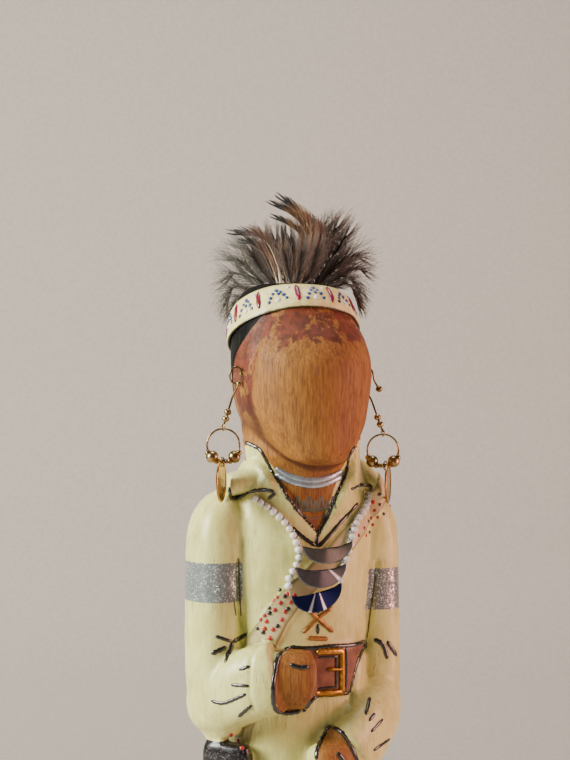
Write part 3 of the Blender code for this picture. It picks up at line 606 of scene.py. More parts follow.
class CarvedFigure:
    """The whole figure out of one piece of wood, with the places of its paint kept on its points."""

    def __init__(self, carving: Carving) -> None:
        """Keep the carving's sizes."""
        self.carving = carving
        self.shells: dict[Zone, list[bmesh.types.BMesh]] = {zone: [] for zone in Zone}

    def add(self, zone: Zone, rings: Sequence[Sequence[Vector]]) -> None:
        """Keep one closed form among those of its zone."""
        bm = bmesh.new()
        skin(bm, rings)
        self.shells[zone].append(bm)

    def upright(self, zone: Zone, rows: Sequence[Row], side: float = 0.0, grow: float = 0.0) -> None:
        """Add a form with level sections.

        Args:
            zone: What the form stands for.
            rows: Height, forward or back, half width, half depth and squareness, in shares.
            side: How far sideways it stands, in shares.
            grow: How much larger it is all round, in metres.
        """
        rings = []
        for height, forward, half_width, half_depth, power in smooth_rows(rows, 4):
            centre = lift((side, forward, height))
            rings.append(section(centre, ACROSS, AHEAD, half_width * SHARE + grow,
                                 half_depth * SHARE + grow, power, 56))
        self.add(zone, rings)

    def limb(self, zone: Zone, rows: Sequence[Row], reference: Vector) -> None:
        """Add a form whose sections are square to its own path."""
        path = smooth_rows(rows, 5)
        places = [lift(row[:3]) for row in path]
        rings = []
        for index, row in enumerate(path):
            start, end = places[max(index - 1, 0)], places[min(index + 1, len(path) - 1)]
            along = (end - start).normalized()
            side = along.cross(reference).normalized()
            rings.append(section(places[index], side, side.cross(along), row[3] * SHARE, row[4] * SHARE,
                                 row[5], 40))
        self.add(zone, rings)

    def pouch(self) -> None:
        """Add the flat shoulder pouch on the right hip."""
        form = self.carving
        turn = Matrix.Rotation(form.pouch_turn, 3, "Z")
        side, out = turn @ ACROSS, turn @ AHEAD
        low, high = form.pouch_heights
        rings = []
        for height, part in ((low, 0.80), (low + 1.5, 0.94), (low + 4, 1.0), (high - 3, 0.97), (high, 0.86)):
            centre = lift((form.pouch_centre[0], form.pouch_centre[1], height))
            rings.append(section(centre, side, out, form.pouch_size[0] / 2 * part * SHARE,
                                 form.pouch_size[1] / 2 * part * SHARE, 3.2, 40))
        self.add(Zone.POUCH, rings)

    def rough_out(self) -> Object:
        """Join every form into one solid and soften where they meet.

        Returns:
            The finely divided figure.
        """
        form = self.carving
        self.upright(Zone.SHIRT, form.torso)
        self.upright(Zone.SHIRT, form.collar, side=form.collar_side)
        self.upright(Zone.SHIRT, form.yoke)
        self.upright(Zone.SKIN, form.neck)
        self.upright(Zone.SKIN, form.head)
        table = np.array(form.torso)
        low, high = form.belt_heights
        belt = [[height] + [float(np.interp(height, table[:, 0], table[:, column])) for column in range(1, 5)]
                for height in (low, (low + high) / 2, high)]
        self.upright(Zone.SHIRT, belt, grow=form.belt_relief)
        for hand in (-1, 1):
            self.upright(Zone.LEG, form.leg, side=hand * form.leg_out)
            self.limb(Zone.SHOE, [(row[0] + hand * form.leg_out, *row[1:]) for row in form.foot], UPWARD)
            self.limb(Zone.SLEEVE, [(hand * row[0], *row[1:]) for row in form.upper_arm], AHEAD)
        for rows in (form.right_wing, form.left_wing):
            self.limb(Zone.SHIRT, rows, AHEAD)
        for zone, rows in ((Zone.SLEEVE, form.right_forearm), (Zone.SKIN, form.right_fist),
                           (Zone.SLEEVE, form.left_forearm), (Zone.SKIN, form.left_fist)):
            self.limb(zone, rows, UPWARD)
        self.pouch()

        joined = bmesh.new()
        for shells in self.shells.values():
            for shell in shells:
                bmesh.ops.recalc_face_normals(shell, faces=shell.faces)
                part = bpy.data.meshes.new("part")
                shell.to_mesh(part)
                joined.from_mesh(part)
                bpy.data.meshes.remove(part)
        figure = new_piece("carved_doll", joined, bpy.data.materials.new("Painted wood"))
        cells = figure.modifiers.new("Cells", "REMESH")
        cells.mode = "VOXEL"
        cells.voxel_size = form.cell
        soften = figure.modifiers.new("Soften", "SMOOTH")
        soften.factor = 0.5
        soften.iterations = 4
        shaped(figure)
        return figure

    def grooves(self, px: np.ndarray, py: np.ndarray) -> np.ndarray:
        """How deep each place lies in the grooves that the photograph shows, in metres."""
        depth = np.zeros(len(px))
        for line, deep, half in self.carving.seen_grooves:
            reach = to_line(px, py, line) * VIEW.pixel / MM
            depth = np.maximum(depth, deep * np.clip(1.4 - reach / half, 0.0, 1.0))
        return depth

    def nearness(self, points: np.ndarray) -> dict[Zone, np.ndarray]:
        """How far each point is from the forms of each zone, in millimetres."""
        result = {}
        for zone, shells in self.shells.items():
            nearest = np.full(len(points), 50.0)
            for shell in shells:
                tree = BVHTree.FromBMesh(shell)
                found = [tree.find_nearest(Vector(point), 0.05)[3] for point in points]
                nearest = np.minimum(nearest, [50.0 if reach is None else reach / MM for reach in found])
            result[zone] = nearest
        return result

    def carve(self, figure: Object) -> None:
        """Cut the relief and keep on the points how deep each lies inside each painted field."""
        form = self.carving
        mesh = figure.data
        count = len(mesh.vertices)
        places = np.empty(count * 3)
        normals = np.empty(count * 3)
        mesh.vertices.foreach_get("co", places)
        mesh.vertex_normals.foreach_get("vector", normals)
        places, normals = places.reshape(-1, 3), normals.reshape(-1, 3)
        x, y = places[:, 0] / SHARE, places[:, 1] / SHARE
        z = (places[:, 2] - SOLE_HEIGHT) / SHARE
        front = np.clip(-normals[:, 1] * 4.0, 0.0, 1.0)
        behind = np.clip(normals[:, 1] * 4.0, 0.0, 1.0)
        near = self.nearness(places)
        cloth = np.minimum(near[Zone.SHIRT], near[Zone.SLEEVE])
        on_torso = np.minimum(near[Zone.SLEEVE], near[Zone.POUCH]) - near[Zone.SHIRT]

        open_neck = np.minimum(inside_outline(x, z, form.neckline), -5.0 - y)
        on_chest = edge(z - 190.0, 8.0) * edge(222.0 - z, 6.0)
        neck_open = edge(open_neck) * on_chest * front
        amount = -form.neckline_depth * (1.0 + np.clip((z - 200.0) / 20.0, 0.0, 1.0)) * neck_open
        for outline in (form.right_flap, form.left_flap):
            amount += form.collar_relief * edge(inside_outline(x, z, outline)) * edge(2.0 - y)

        half_strap = form.strap_width / 2 / SHARE
        front_strap = np.minimum(half_strap - to_line(x, z, form.strap_front), -4.0 - y)
        back_strap = np.minimum(half_strap - to_line(x, z, form.strap_back), y - 4.0)
        strap = np.maximum(np.where(front > 0.02, front_strap, -9.0),
                           np.where(behind > 0.02, back_strap, -9.0))
        strap = np.minimum(strap, np.where(z > 200, 9.0, on_torso))
        strap = np.minimum(strap, -open_neck)
        amount += form.strap_relief * edge(strap)

        reach = np.hypot((x - form.mask_centre[0]) / form.mask_half[0],
                         (z - form.mask_centre[1]) / form.mask_half[1])
        mask = (1.0 - reach) * form.mask_half[0]
        low_edge = 1.0 - edge(z - 266.0, 12.0)
        amount += (form.mask_relief * edge(mask, 0.7) * edge(-8.0 - y) * edge(z - 221.0)
                   * (0.3 + 0.7 * low_edge))

        skin_field = cloth - near[Zone.SKIN]
        skin_field = np.maximum(skin_field, np.where((open_neck > -3.0) & (front > 0.05) & (z > 190.0),
                                                     open_neck, -9.0))
        skin_field = np.where(z > 233.0, np.maximum(skin_field, 2.0), skin_field)
        head_top = z > 224.0
        hairline = np.interp(z, (226.0, 245.0, 256.5, 261.0, 267.5, 272.4, 280.0),
                             (9.0, 6.5, 1.9, -1.2, -7.8, -11.1, -15.0))
        hair = np.where(head_top, np.minimum(y - hairline, skin_field + 1.0), -9.0)
        under_band = 275.0 - 0.445 * y - 0.070 * x - 4.6
        hair = np.maximum(hair, np.where(z > 250.0, z - under_band, -9.0))
        amount += form.hair_relief * edge(hair, 1.0)

        px, py = VIEW.pixels(places)
        seen = normals @ np.array(VIEW.back()) > 0.05
        scale = VIEW.pixel / MM

        def in_picture(outline: Sequence[Row]) -> np.ndarray:
            """How deep each place lies inside an outline of the photograph, in millimetres."""
            return inside_outline(px, py, outline) * scale

        fist, hand = in_picture(form.seen_fist), in_picture(form.seen_hand)
        at_fist = seen & (px > 255) & (px < 330) & (py > 630) & (py < 725)
        at_hand = seen & (px > 300) & (px < 375) & (py > 715) & (z > 96.0)
        at_neck = seen & (py > 446) & (py < 545) & (px > 236) & (px < 372)
        skin_field = np.where(at_fist, fist, np.where(at_hand, hand, skin_field))
        neck_skin = np.maximum(in_picture(form.seen_neck), skin_field * (y > -3.0) - (y <= -3.0))
        skin_field = np.where(at_neck, neck_skin, skin_field)

        amount -= self.grooves(px, py) * (seen & (py > 540) & (y < 2.0))

        low, high = form.belt_heights
        belt = np.minimum(np.minimum(z - low, high - z), on_torso)
        belt = np.minimum(belt, near[Zone.SKIN] - near[Zone.SHIRT])
        at_belt = seen & (px > 265) & (px < 385) & (z > 130.0) & (z < 165.0)
        belt = np.where(at_belt, np.minimum(in_picture(form.seen_belt), -fist), belt)
        ring = np.where(x < 0, np.minimum(z - 173.3, 187.4 - z), np.minimum(z - 167.5, 182.8 - z))
        armband = np.minimum(ring, near[Zone.SHIRT] - near[Zone.SLEEVE])
        pouch = np.minimum(near[Zone.SHIRT], near[Zone.SLEEVE]) - near[Zone.POUCH]
        pouch = np.where((z < 125.0) & (x < 0), pouch, -9.0)
        legs = np.where(z < 74.0, cloth - np.minimum(near[Zone.LEG], near[Zone.SHOE]), -9.0)
        shoes = np.where(z < 20.0, near[Zone.LEG] - near[Zone.SHOE], -9.0)
        amount += form.facet_depth * ripple(places, 0.011, 5) * (1.0 - edge(hair, 1.0))

        places += normals * amount[:, None]
        low_points = places[:, 2] < SOLE_HEIGHT + 1.2 * SHARE
        places[low_points, 2] = SOLE_HEIGHT
        mesh.vertices.foreach_set("co", places.ravel())
        fields = {"skin": skin_field, "hair": hair, "strap": strap, "belt": belt, "armband": armband,
                  "pouch": pouch, "legs": legs, "shoes": shoes, "mask": mask}
        for name, field in fields.items():
            kept = mesh.attributes.new(name, "FLOAT", "POINT")
            kept.data.foreach_set("value", np.clip(field, -9.0, 9.0).astype(np.float32))
        mesh.update()

    def thin(self, figure: Object) -> None:
        """Keep the figure within its most triangles."""
        triangles = 2 * len(figure.data.polygons)
        if triangles > self.carving.most_triangles:
            fewer = figure.modifiers.new("Fewer", "DECIMATE")
            fewer.ratio = self.carving.most_triangles / triangles
            shaped(figure)
        figure.data.shade_smooth()

    def build(self, finish: Material) -> Object:
        """Make the carved figure.

        Args:
            finish: The material of paint and bare wood.

        Returns:
            The object, which stands for the model's own figure.
        """
        figure = self.rough_out()
        self.carve(figure)
        self.thin(figure)
        figure.data.materials.clear()
        figure.data.materials.append(finish)
        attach(figure, BODY)
        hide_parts("carved_figure")
        return figure


def tint(red: float, green: float, blue: float) -> tuple[float, float, float]:
    """A screen colour, made linear."""
    return tuple(((part / 255 + 0.055) / 1.055) ** 2.4 if part > 10 else part / 3295
                 for part in (red, green, blue))


def wire_fibres(graph: Graph, given: dict) -> dict:
    """Wire long upright wood fibres with short dark pores."""
    broad = graph.band(graph.noise(graph.object_place((1.0, 1.0, 0.16)), 120.0, 3.0, 0.6, 0.4), 0.32, 0.68)
    fine = graph.band(graph.noise(graph.object_place((1.0, 1.0, 0.09)), 1300.0, 4.0, 0.65), 0.3, 0.7)
    pores = graph.band(graph.noise(graph.object_place((1.0, 1.0, 0.07)), 2300.0, 2.0), 0.58, 0.66)
    tone = graph.math("MULTIPLY", given["Depth"], graph.blend(0.6, broad, fine))
    color = graph.mix(tone, given["Pale Color"], given["Dark Color"])
    color = graph.mix(graph.math("MULTIPLY", pores, 0.55), color, given["Dark Color"])
    height = graph.math("SUBTRACT", graph.math("MULTIPLY", fine, 0.5), pores)
    return {"Color": color, "Height": height}


def wire_brushed(graph: Graph, given: dict) -> dict:
    """Wire hand-brushed paint: long strokes, thin places, fine upright cracks and rubbed specks."""
    strokes = graph.noise(graph.object_place((1.0, 1.0, 0.22), (0.12, 0.2, 0.0)), 620.0, 3.0, 0.6)
    cloud = graph.noise(graph.object_place(), 70.0, 3.0, 0.6)
    tone = graph.band(graph.blend(0.5, strokes, cloud), 0.38, 0.64)
    color = graph.mix(tone, given["Color"], given["Thin Color"])
    cracks = graph.noise(graph.object_place((1.0, 1.0, 0.03)), 1250.0, 2.0, 0.5)
    line = graph.band(graph.math("ABSOLUTE", graph.math("SUBTRACT", cracks, 0.5)), 0.004, 0.014, 1.0, 0.0)
    where = graph.band(graph.noise(graph.object_place(), 95.0, 2.0), 0.50, 0.62)
    crack = graph.math("MULTIPLY", line, where)
    specks = graph.band(graph.noise(graph.object_place(), 1900.0, 2.0, 0.5), 0.71, 0.76)
    bare = graph.math("MAXIMUM", graph.math("MULTIPLY", crack, 0.7), graph.math("MULTIPLY", specks, 0.5))
    color = graph.mix(bare, color, given["Bare Color"])
    height = graph.math("SUBTRACT", graph.math("MULTIPLY", strokes, 0.6), bare)
    return {"Color": color, "Height": height}


def wire_glitter(graph: Graph, given: dict) -> dict:
    """Wire flakes of glitter: each cell of a fine mosaic has its own brightness and hue."""
    cells = graph.node("ShaderNodeTexVoronoi", {"Vector": graph.object_place(), "Scale": 2300.0})
    parts = graph.node("ShaderNodeSeparateColor", {0: cells.outputs["Color"]})
    glint = graph.band(parts.outputs[0], 0.50, 0.85)
    hue = graph.mix(graph.band(parts.outputs[1], 0.45, 0.55), given["First Color"], given["Second Color"])
    hue = graph.mix(graph.band(parts.outputs[2], 0.60, 0.70), hue, given["Bright Color"])
    color = graph.mix(glint, given["Ground Color"], hue)
    return {"Color": color, "Glint": glint, "Height": parts.outputs[1]}


class SharedLooks:
    """The shader groups that several finishes use."""

    def __init__(self) -> None:
        """Build the groups."""
        self.fibres = ShaderGroup(
            "Wood fibres", {"Pale Color": tint(172, 118, 50), "Dark Color": tint(108, 62, 24), "Depth": 1.0},
            ("Color", "Height"), wire_fibres)
        self.brushed = ShaderGroup(
            "Brushed paint", {"Color": tint(226, 228, 178), "Thin Color": tint(206, 200, 148),
                              "Bare Color": tint(120, 98, 62)}, ("Color", "Height"), wire_brushed)
        self.glitter = ShaderGroup(
            "Glitter", {"Ground Color": tint(116, 122, 120), "First Color": tint(150, 170, 168),
                        "Second Color": tint(176, 178, 172), "Bright Color": tint(235, 240, 238)},
            ("Color", "Glint", "Height"), wire_glitter)


def new_material(name: str) -> tuple[Material, Graph, Node]:
    """A material, its graph and its surface shader."""
    material = bpy.data.materials.new(name)
    material.use_nodes = True
    shader = material.node_tree.nodes["Principled BSDF"]
    return material, Graph(material.node_tree), shader


@dataclass(frozen=True)
class Finish:
    """A plain finish whose colour clouds from one screen tone to another."""

    name: str
    color: tuple
    other: tuple
    roughness: float = 0.4
    metallic: float = 0.0
    coat: float = 0.0
    cloud: float = 300.0
    bump_scale: float = 1500.0
    bump: float = 0.00003

    def make(self) -> Material:
        """Make the material."""
        material, graph, shader = new_material(self.name)
        where = graph.object_place()
        tone = graph.band(graph.noise(where, self.cloud, 4.0, 0.6), 0.35, 0.65)
        graph.feed(shader.inputs["Base Color"], graph.mix(tone, tint(*self.color), tint(*self.other)))
        dull = graph.band(tone, 0.0, 1.0, self.roughness, self.roughness * 1.25)
        graph.feed(shader.inputs["Roughness"], dull)
        shader.inputs["Metallic"].default_value = self.metallic
        shader.inputs["Coat Weight"].default_value = self.coat
        graph.feed(shader.inputs["Normal"], graph.bump(graph.noise(where, self.bump_scale, 3.0), self.bump))
        return material


@dataclass(frozen=True)
class WoodFinish:
    """Bare wood with an upright grain."""

    name: str = "Base wood"
    pale: tuple = tint(178, 122, 70)
    dark: tuple = tint(112, 68, 36)
    roughness: float = 0.5

    def make(self, looks: SharedLooks) -> Material:
        """Make the material."""
        material, graph, shader = new_material(self.name)
        grain = looks.fibres.place(graph, Pale_Color=self.pale, Dark_Color=self.dark)
        graph.feed(shader.inputs["Base Color"], grain.outputs["Color"])
        dull = graph.band(grain.outputs["Height"], -1.0, 0.5, 0.75, self.roughness)
        graph.feed(shader.inputs["Roughness"], dull)
        graph.feed(shader.inputs["Normal"], graph.bump(grain.outputs["Height"], 0.00012))
        return material


@dataclass(frozen=True)
class DollFinish:
    """Everything that is painted on the carved wood without standing out from it, with painted shade at the
    face's lower edge and along the strap's edges.
    """

    name: str = "Painted wood"
    cream: tuple = tint(226, 226, 146)
    cream_thin: tuple = tint(208, 202, 122)
    stain: tuple = tint(112, 46, 34)
    stain_dark: tuple = tint(76, 30, 24)
    black: tuple = tint(16, 17, 16)
    strap: tuple = tint(206, 192, 142)
    strap_edge_shade: tuple = tint(150, 142, 84)
    belt: tuple = tint(112, 66, 48)
    legging: tuple = tint(176, 132, 82)
    shoe: tuple = tint(104, 66, 40)

    def make(self, looks: SharedLooks) -> Material:
        """Make the material, laying each painted field over the one before.

        Args:
            looks: The shared shader groups.

        Returns:
            The material.
        """
        material, graph, shader = new_material(self.name)
        wood = looks.fibres.place(graph)
        cream = looks.brushed.place(graph, Color=self.cream, Thin_Color=self.cream_thin)
        color, height = cream.outputs["Color"], cream.outputs["Height"]
        rough: Any = graph.band(height, -0.8, 0.5, 0.55, 0.33)
        coat: Any = 0.12

        def cover(mask: Any, over: Any, roughness: Any, gloss: float, relief: Any = None) -> None:
            """Lay one field over what is there."""
            nonlocal color, rough, coat, height
            color = graph.mix(mask, color, over)
            rough = graph.blend(mask, rough, roughness)
            coat = graph.blend(mask, coat, gloss)
            if relief is not None:
                height = graph.blend(mask, height, relief)

        def field(name: str, soft: float = 0.12, at: float = 0.0) -> Any:
            """One inside a field that the carving keeps on its points."""
            return graph.band(graph.attribute(name), at - soft, at + soft)

        legs = looks.brushed.place(graph, Color=self.legging, Thin_Color=tint(150, 106, 62))
        cover(field("legs"), legs.outputs["Color"], 0.5, 0.05)
        shoes = looks.brushed.place(graph, Color=self.shoe, Thin_Color=tint(82, 50, 30))
        cover(field("shoes"), shoes.outputs["Color"], 0.45, 0.1)
        cover(field("skin"), wood.outputs["Color"], 0.60, 0.0, wood.outputs["Height"])

        level = graph.node("ShaderNodeSeparateXYZ", {0: graph.object_place()}).outputs[2]
        patches = graph.noise(graph.object_place((1.0, 1.0, 0.8)), 170.0, 6.0, 0.70, 0.5)
        beside = graph.math("MULTIPLY", graph.band(graph.attribute("mask"), -0.6, 1.4, 0.32, 0.0),
                            graph.band(level, 0.246, 0.258))
        above = graph.math("MAXIMUM", graph.band(level, 0.271, 0.283, 0.0, 0.34), beside)
        stained = graph.band(graph.math("ADD", patches, above), 0.72, 0.79)
        stained = graph.math("MULTIPLY", graph.math("MULTIPLY", stained, field("skin")), 0.88)
        blotch = graph.mix(graph.band(graph.noise(graph.object_place(), 260.0, 4.0), 0.4, 0.62), self.stain,
                           self.stain_dark)
        cover(stained, blotch, 0.52, 0.0)
        # Painted shade: a dark red-brown line just outside the face's lower edge and under the chin, where
        # the carving's shadow falls.
        rim = graph.math("ABSOLUTE", graph.math("ADD", graph.attribute("mask"), 0.7))
        crease = graph.math("MULTIPLY", graph.band(rim, 0.1, 0.9, 1.0, 0.0), field("skin"))
        crease = graph.math("MULTIPLY", crease, graph.band(level, 0.248, 0.266, 0.8, 0.0))
        cover(graph.math("MULTIPLY", crease, graph.band(level, 0.2305, 0.2325)), tint(74, 34, 20), 0.5, 0.0)

        # Painted shade: the strap turns olive towards its edges, where its raised rim meets the shirt and
        # shade falls.
        tan = graph.mix(graph.band(graph.attribute("strap"), 0.2, 1.6), self.strap_edge_shade, self.strap)
        cover(field("strap"), tan, 0.4, 0.2)
        leather = graph.mix(graph.band(graph.noise(graph.object_place(), 240.0, 4.0), 0.36, 0.64), self.belt,
                            tint(142, 92, 62))
        cover(field("belt"), leather, 0.36, 0.25)
        flakes = looks.glitter.place(graph)
        cover(field("armband"), flakes.outputs["Color"], 0.3, 0.2, flakes.outputs["Height"])
        dark_flakes = looks.glitter.place(
            graph, Ground_Color=tint(12, 12, 14), First_Color=tint(18, 44, 28), Second_Color=tint(46, 14, 34),
            Bright_Color=tint(96, 84, 92))
        cover(field("pouch"), dark_flakes.outputs["Color"], 0.28, 0.3, dark_flakes.outputs["Height"])
        locks = graph.noise(graph.object_place((1.0, 1.0, 0.12)), 900.0, 3.0, 0.5)
        inked = graph.mix(graph.band(locks, 0.4, 0.7), self.black, tint(34, 32, 30))
        cover(field("hair"), inked, 0.50, 0.0, locks)

        sparkle = graph.math("MULTIPLY", flakes.outputs["Glint"], field("armband"))
        graph.feed(shader.inputs["Base Color"], color)
        graph.feed(shader.inputs["Roughness"], rough)
        graph.feed(shader.inputs["Coat Weight"], coat)
        graph.feed(shader.inputs["Metallic"], graph.math("MULTIPLY", sparkle, 0.8))
        graph.feed(shader.inputs["Specular IOR Level"], graph.band(field("hair"), 0.0, 1.0, 0.32, 0.05))
        shader.inputs["Coat Roughness"].default_value = 0.2
        graph.feed(shader.inputs["Normal"], graph.bump(height, 0.00007))
        return material


class Base:
    """The low wooden base, with rounded upper edges and an upright grain."""

    def build(self, finish: Material) -> Object:
        """Make the base over the model's own.

        Args:
            finish: Bare wood.

        Returns:
            The object.
        """
        low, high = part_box("base")
        half = ((high[0] - low[0]) / 2, (high[1] - low[1]) / 2)
        top, rounding = high[2], 0.0016
        rings = []
        for height, inward in ((0.0, 0.0007), (0.0007, 0.0), (top - rounding, 0.0),
                               *((top - rounding * (1 - sin(a)), rounding * (1 - cos(a)))
                                 for a in np.linspace(0.25, pi / 2, 6))):
            rings.append(section(Vector((0, 0, height)), ACROSS, AHEAD,
                                 half[0] - inward, half[1] - inward, 6.0, 120))
        obj = ringed("plain_base", rings, finish, 50)
        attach(obj, BODY)
        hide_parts("base")
        return obj


class Studio:
    """A plain floor and soft light, for looking at the doll."""

    def floor(self) -> None:
        """Lay a pale floor that curves up into a backdrop."""
        bm = bmesh.new()
        back = -VIEW.back()
        side = VIEW.right()
        profile = [(-1.2, 0.0), (0.55, 0.0), (0.72, 0.03), (0.84, 0.13), (0.88, 0.28), (0.90, 2.2)]
        rows = [[bm.verts.new(back * reach + side * across + Vector((0, 0, height - 0.0001)))
                 for across in (-3.0, 3.0)] for reach, height in profile]
        for low, high in zip(rows, rows[1:]):
            bm.faces.new((low[0], low[1], high[1], high[0]))
        finish = Finish("Pale floor", (196, 190, 180), (190, 184, 174), 0.8, bump=0.0).make()
        obj = new_piece("studio_floor", bm, finish)

    def lamp(self, name: str, place: Row, size: float, watts: float, color: Row) -> None:
        """Hang one soft lamp that points at the doll's middle."""
        light = bpy.data.lights.new(name, "AREA")
        light.size = size
        light.energy = watts
        light.color = color
        lamp = bpy.data.objects.new(name, light)
        lamp.location = place
        way = Vector((0.0, 0.0, 0.2)) - Vector(place)
        lamp.rotation_euler = way.to_track_quat("-Z", "Y").to_euler()
        bpy.context.scene.collection.objects.link(lamp)

    def build(self) -> None:
        """Set up the floor, the lamps and the room's own light."""
        self.floor()
        side, toward, up = VIEW.right(), VIEW.back(), UPWARD
        self.lamp("Key", -side * 0.92 + toward * 0.38 + up * 0.62, 0.46, 28.0, (1.0, 1.0, 0.92))
        self.lamp("Warm fill", side * 0.74 + toward * 0.10 + up * 0.30, 0.40, 6.5, (1.0, 0.46, 0.40))
        self.lamp("Over", up * 1.1 - toward * 0.1, 0.5, 5.0, (1.0, 1.0, 1.0))
        world = bpy.data.worlds.new("Studio")
        world.use_nodes = True
        world.node_tree.nodes["Background"].inputs[0].default_value = (*tint(206, 202, 196), 1.0)
        world.node_tree.nodes["Background"].inputs[1].default_value = 0.20
        bpy.context.scene.world = world


class GeometryTree:
    """A Geometry Nodes tree with named inputs, used up into a plain mesh."""

    def __init__(self, name: str, numbers: dict[str, float]) -> None:
        """Start the tree with a mesh input, a finish and some numbers."""
        self.tree = bpy.data.node_groups.new(name, "GeometryNodeTree")
        face = self.tree.interface
        face.new_socket("Geometry", in_out="INPUT", socket_type="NodeSocketGeometry")
        self.names = {}
        for label, value in numbers.items():
            socket = face.new_socket(label, in_out="INPUT", socket_type="NodeSocketFloat")
            socket.default_value = value
            self.names[label] = socket.identifier
        finish = face.new_socket("Finish", in_out="INPUT", socket_type="NodeSocketMaterial")
        self.names["Finish"] = finish.identifier
        face.new_socket("Geometry", in_out="OUTPUT", socket_type="NodeSocketGeometry")
        self.graph = Graph(self.tree)
        self.entry = self.graph.node("NodeGroupInput").outputs

    def close(self, geometry: NodeSocket) -> None:
        """End with real geometry that wears the finish, shaded smooth."""
        real = self.graph.node("GeometryNodeRealizeInstances", {0: geometry}).outputs[0]
        smooth = self.graph.node("GeometryNodeSetShadeSmooth", {"Geometry": real}).outputs[0]
        dressed = self.graph.node("GeometryNodeSetMaterial",
                                  {"Geometry": smooth, "Material": self.entry["Finish"]})
        self.graph.feed(self.graph.node("NodeGroupOutput").inputs[0], dressed.outputs[0])

    def grow(self, name: str, seed: Mesh, material: Material, **numbers: float) -> Any:
        """Run the tree on a mesh.

        Args:
            name: The new piece's name.
            seed: Points or lines with their attributes.
            material: The finish.
            **numbers: Values for the named inputs.

        Returns:
            The object with its plain mesh.
        """
        obj = bpy.data.objects.new(name, seed)
        bpy.context.scene.collection.objects.link(obj)
        modifier = obj.modifiers.new("Growth", "NODES")
        modifier.node_group = self.tree
        for label, value in numbers.items():
            modifier[self.names[label.replace("_", " ")]] = value
        modifier[self.names["Finish"]] = material
        mesh = shaped(obj)
        mesh.name = name
        return obj


def lines_tree() -> GeometryTree:
    """The tree that gives lines a flat or round section, as thick as their radius says."""
    made = GeometryTree("Sections along lines", {"Sides": 4.0, "Flatness": 1.0})
    graph = made.graph
    curve = graph.node("GeometryNodeMeshToCurve", {"Mesh": made.entry["Geometry"]}).outputs[0]
    facing = graph.node("GeometryNodeInputNamedAttribute", {"Name": "facing"}, data_type="FLOAT_VECTOR")
    turned = graph.node("GeometryNodeSetCurveNormal", {"Curve": curve, "Normal": facing.outputs[0]},
                        mode="FREE")
    radius = graph.node("GeometryNodeInputNamedAttribute", {"Name": "thick"}, data_type="FLOAT")
    ring = graph.node("GeometryNodeCurvePrimitiveCircle", {"Resolution": made.entry["Sides"], "Radius": 1.0},
                      mode="RADIUS")
    stretch = graph.node("ShaderNodeCombineXYZ", {0: made.entry["Flatness"], 1: 1.0, 2: 1.0})
    profile = graph.node("GeometryNodeTransform", {"Geometry": ring.outputs[0], "Scale": stretch.outputs[0]})
    swept = graph.node("GeometryNodeCurveToMesh", {
        "Curve": turned.outputs[0], "Profile Curve": profile.outputs[0], "Scale": radius.outputs[0],
        "Fill Caps": True})
    made.close(swept.outputs[0])
    return made


def beads_tree() -> GeometryTree:
    """The tree that puts a slightly flattened ball at every point, turned along its thread."""
    made = GeometryTree("Beads on points", {"Flatness": 0.86})
    graph = made.graph
    ball = graph.node("GeometryNodeMeshUVSphere", {"Segments": 20, "Rings": 12, "Radius": 1.0})
    along = graph.node("GeometryNodeInputNamedAttribute", {"Name": "facing"}, data_type="FLOAT_VECTOR")
    turn = graph.node("FunctionNodeAlignRotationToVector", {"Vector": along.outputs[0]}, axis="Z")
    size = graph.node("GeometryNodeInputNamedAttribute", {"Name": "thick"}, data_type="FLOAT")
    flat = graph.math("MULTIPLY", size.outputs[0], made.entry["Flatness"])
    scale = graph.node("ShaderNodeCombineXYZ", {0: size.outputs[0], 1: size.outputs[0], 2: flat})
    points = graph.node("GeometryNodeMeshToPoints", {"Mesh": made.entry["Geometry"]})
    placed = graph.node("GeometryNodeInstanceOnPoints", {
        "Points": points.outputs[0], "Instance": ball.outputs["Mesh"], "Rotation": turn.outputs[0],
        "Scale": scale.outputs[0]})
    made.close(placed.outputs[0])
    return made


@dataclass
class Lines:
    """Polylines with a thickness and tints at each point, for the trees."""

    places: list = field(default_factory=list)
    edges: list = field(default_factory=list)
    thick: list = field(default_factory=list)
    facing: list = field(default_factory=list)
    tints: list = field(default_factory=list)

    def add(self, path: Sequence[Vector], thick: Sequence[float], facing: Vector,
            tints: Sequence[Row] = ()) -> None:
        """Add one line, or one point.

        Args:
            path: Its places.
            thick: Its radius at each place.
            facing: The way its flat side looks.
            tints: Three numbers at each place: along the feather, out along the barb, and a shade.
        """
        start = len(self.places)
        self.places += [tuple(place) for place in path]
        self.edges += [(start + index, start + index + 1) for index in range(len(path) - 1)]
        self.thick += list(thick)
        self.facing += [tuple(facing)] * len(path)
        self.tints += [tuple(row) for row in tints] or [(0.0, 0.0, 0.0)] * len(path)

    def mesh(self) -> Mesh:
        """The lines as a mesh of edges with attributes."""
        mesh = bpy.data.meshes.new("lines")
        mesh.from_pydata(self.places, self.edges, [])
        mesh.attributes.new("thick", "FLOAT", "POINT").data.foreach_set("value", self.thick)
        mesh.attributes.new("facing", "FLOAT_VECTOR", "POINT").data.foreach_set(
            "vector", np.array(self.facing, dtype=np.float32).ravel())
        mesh.attributes.new("tints", "FLOAT_VECTOR", "POINT").data.foreach_set(
            "vector", np.array(self.tints, dtype=np.float32).ravel())
        return mesh


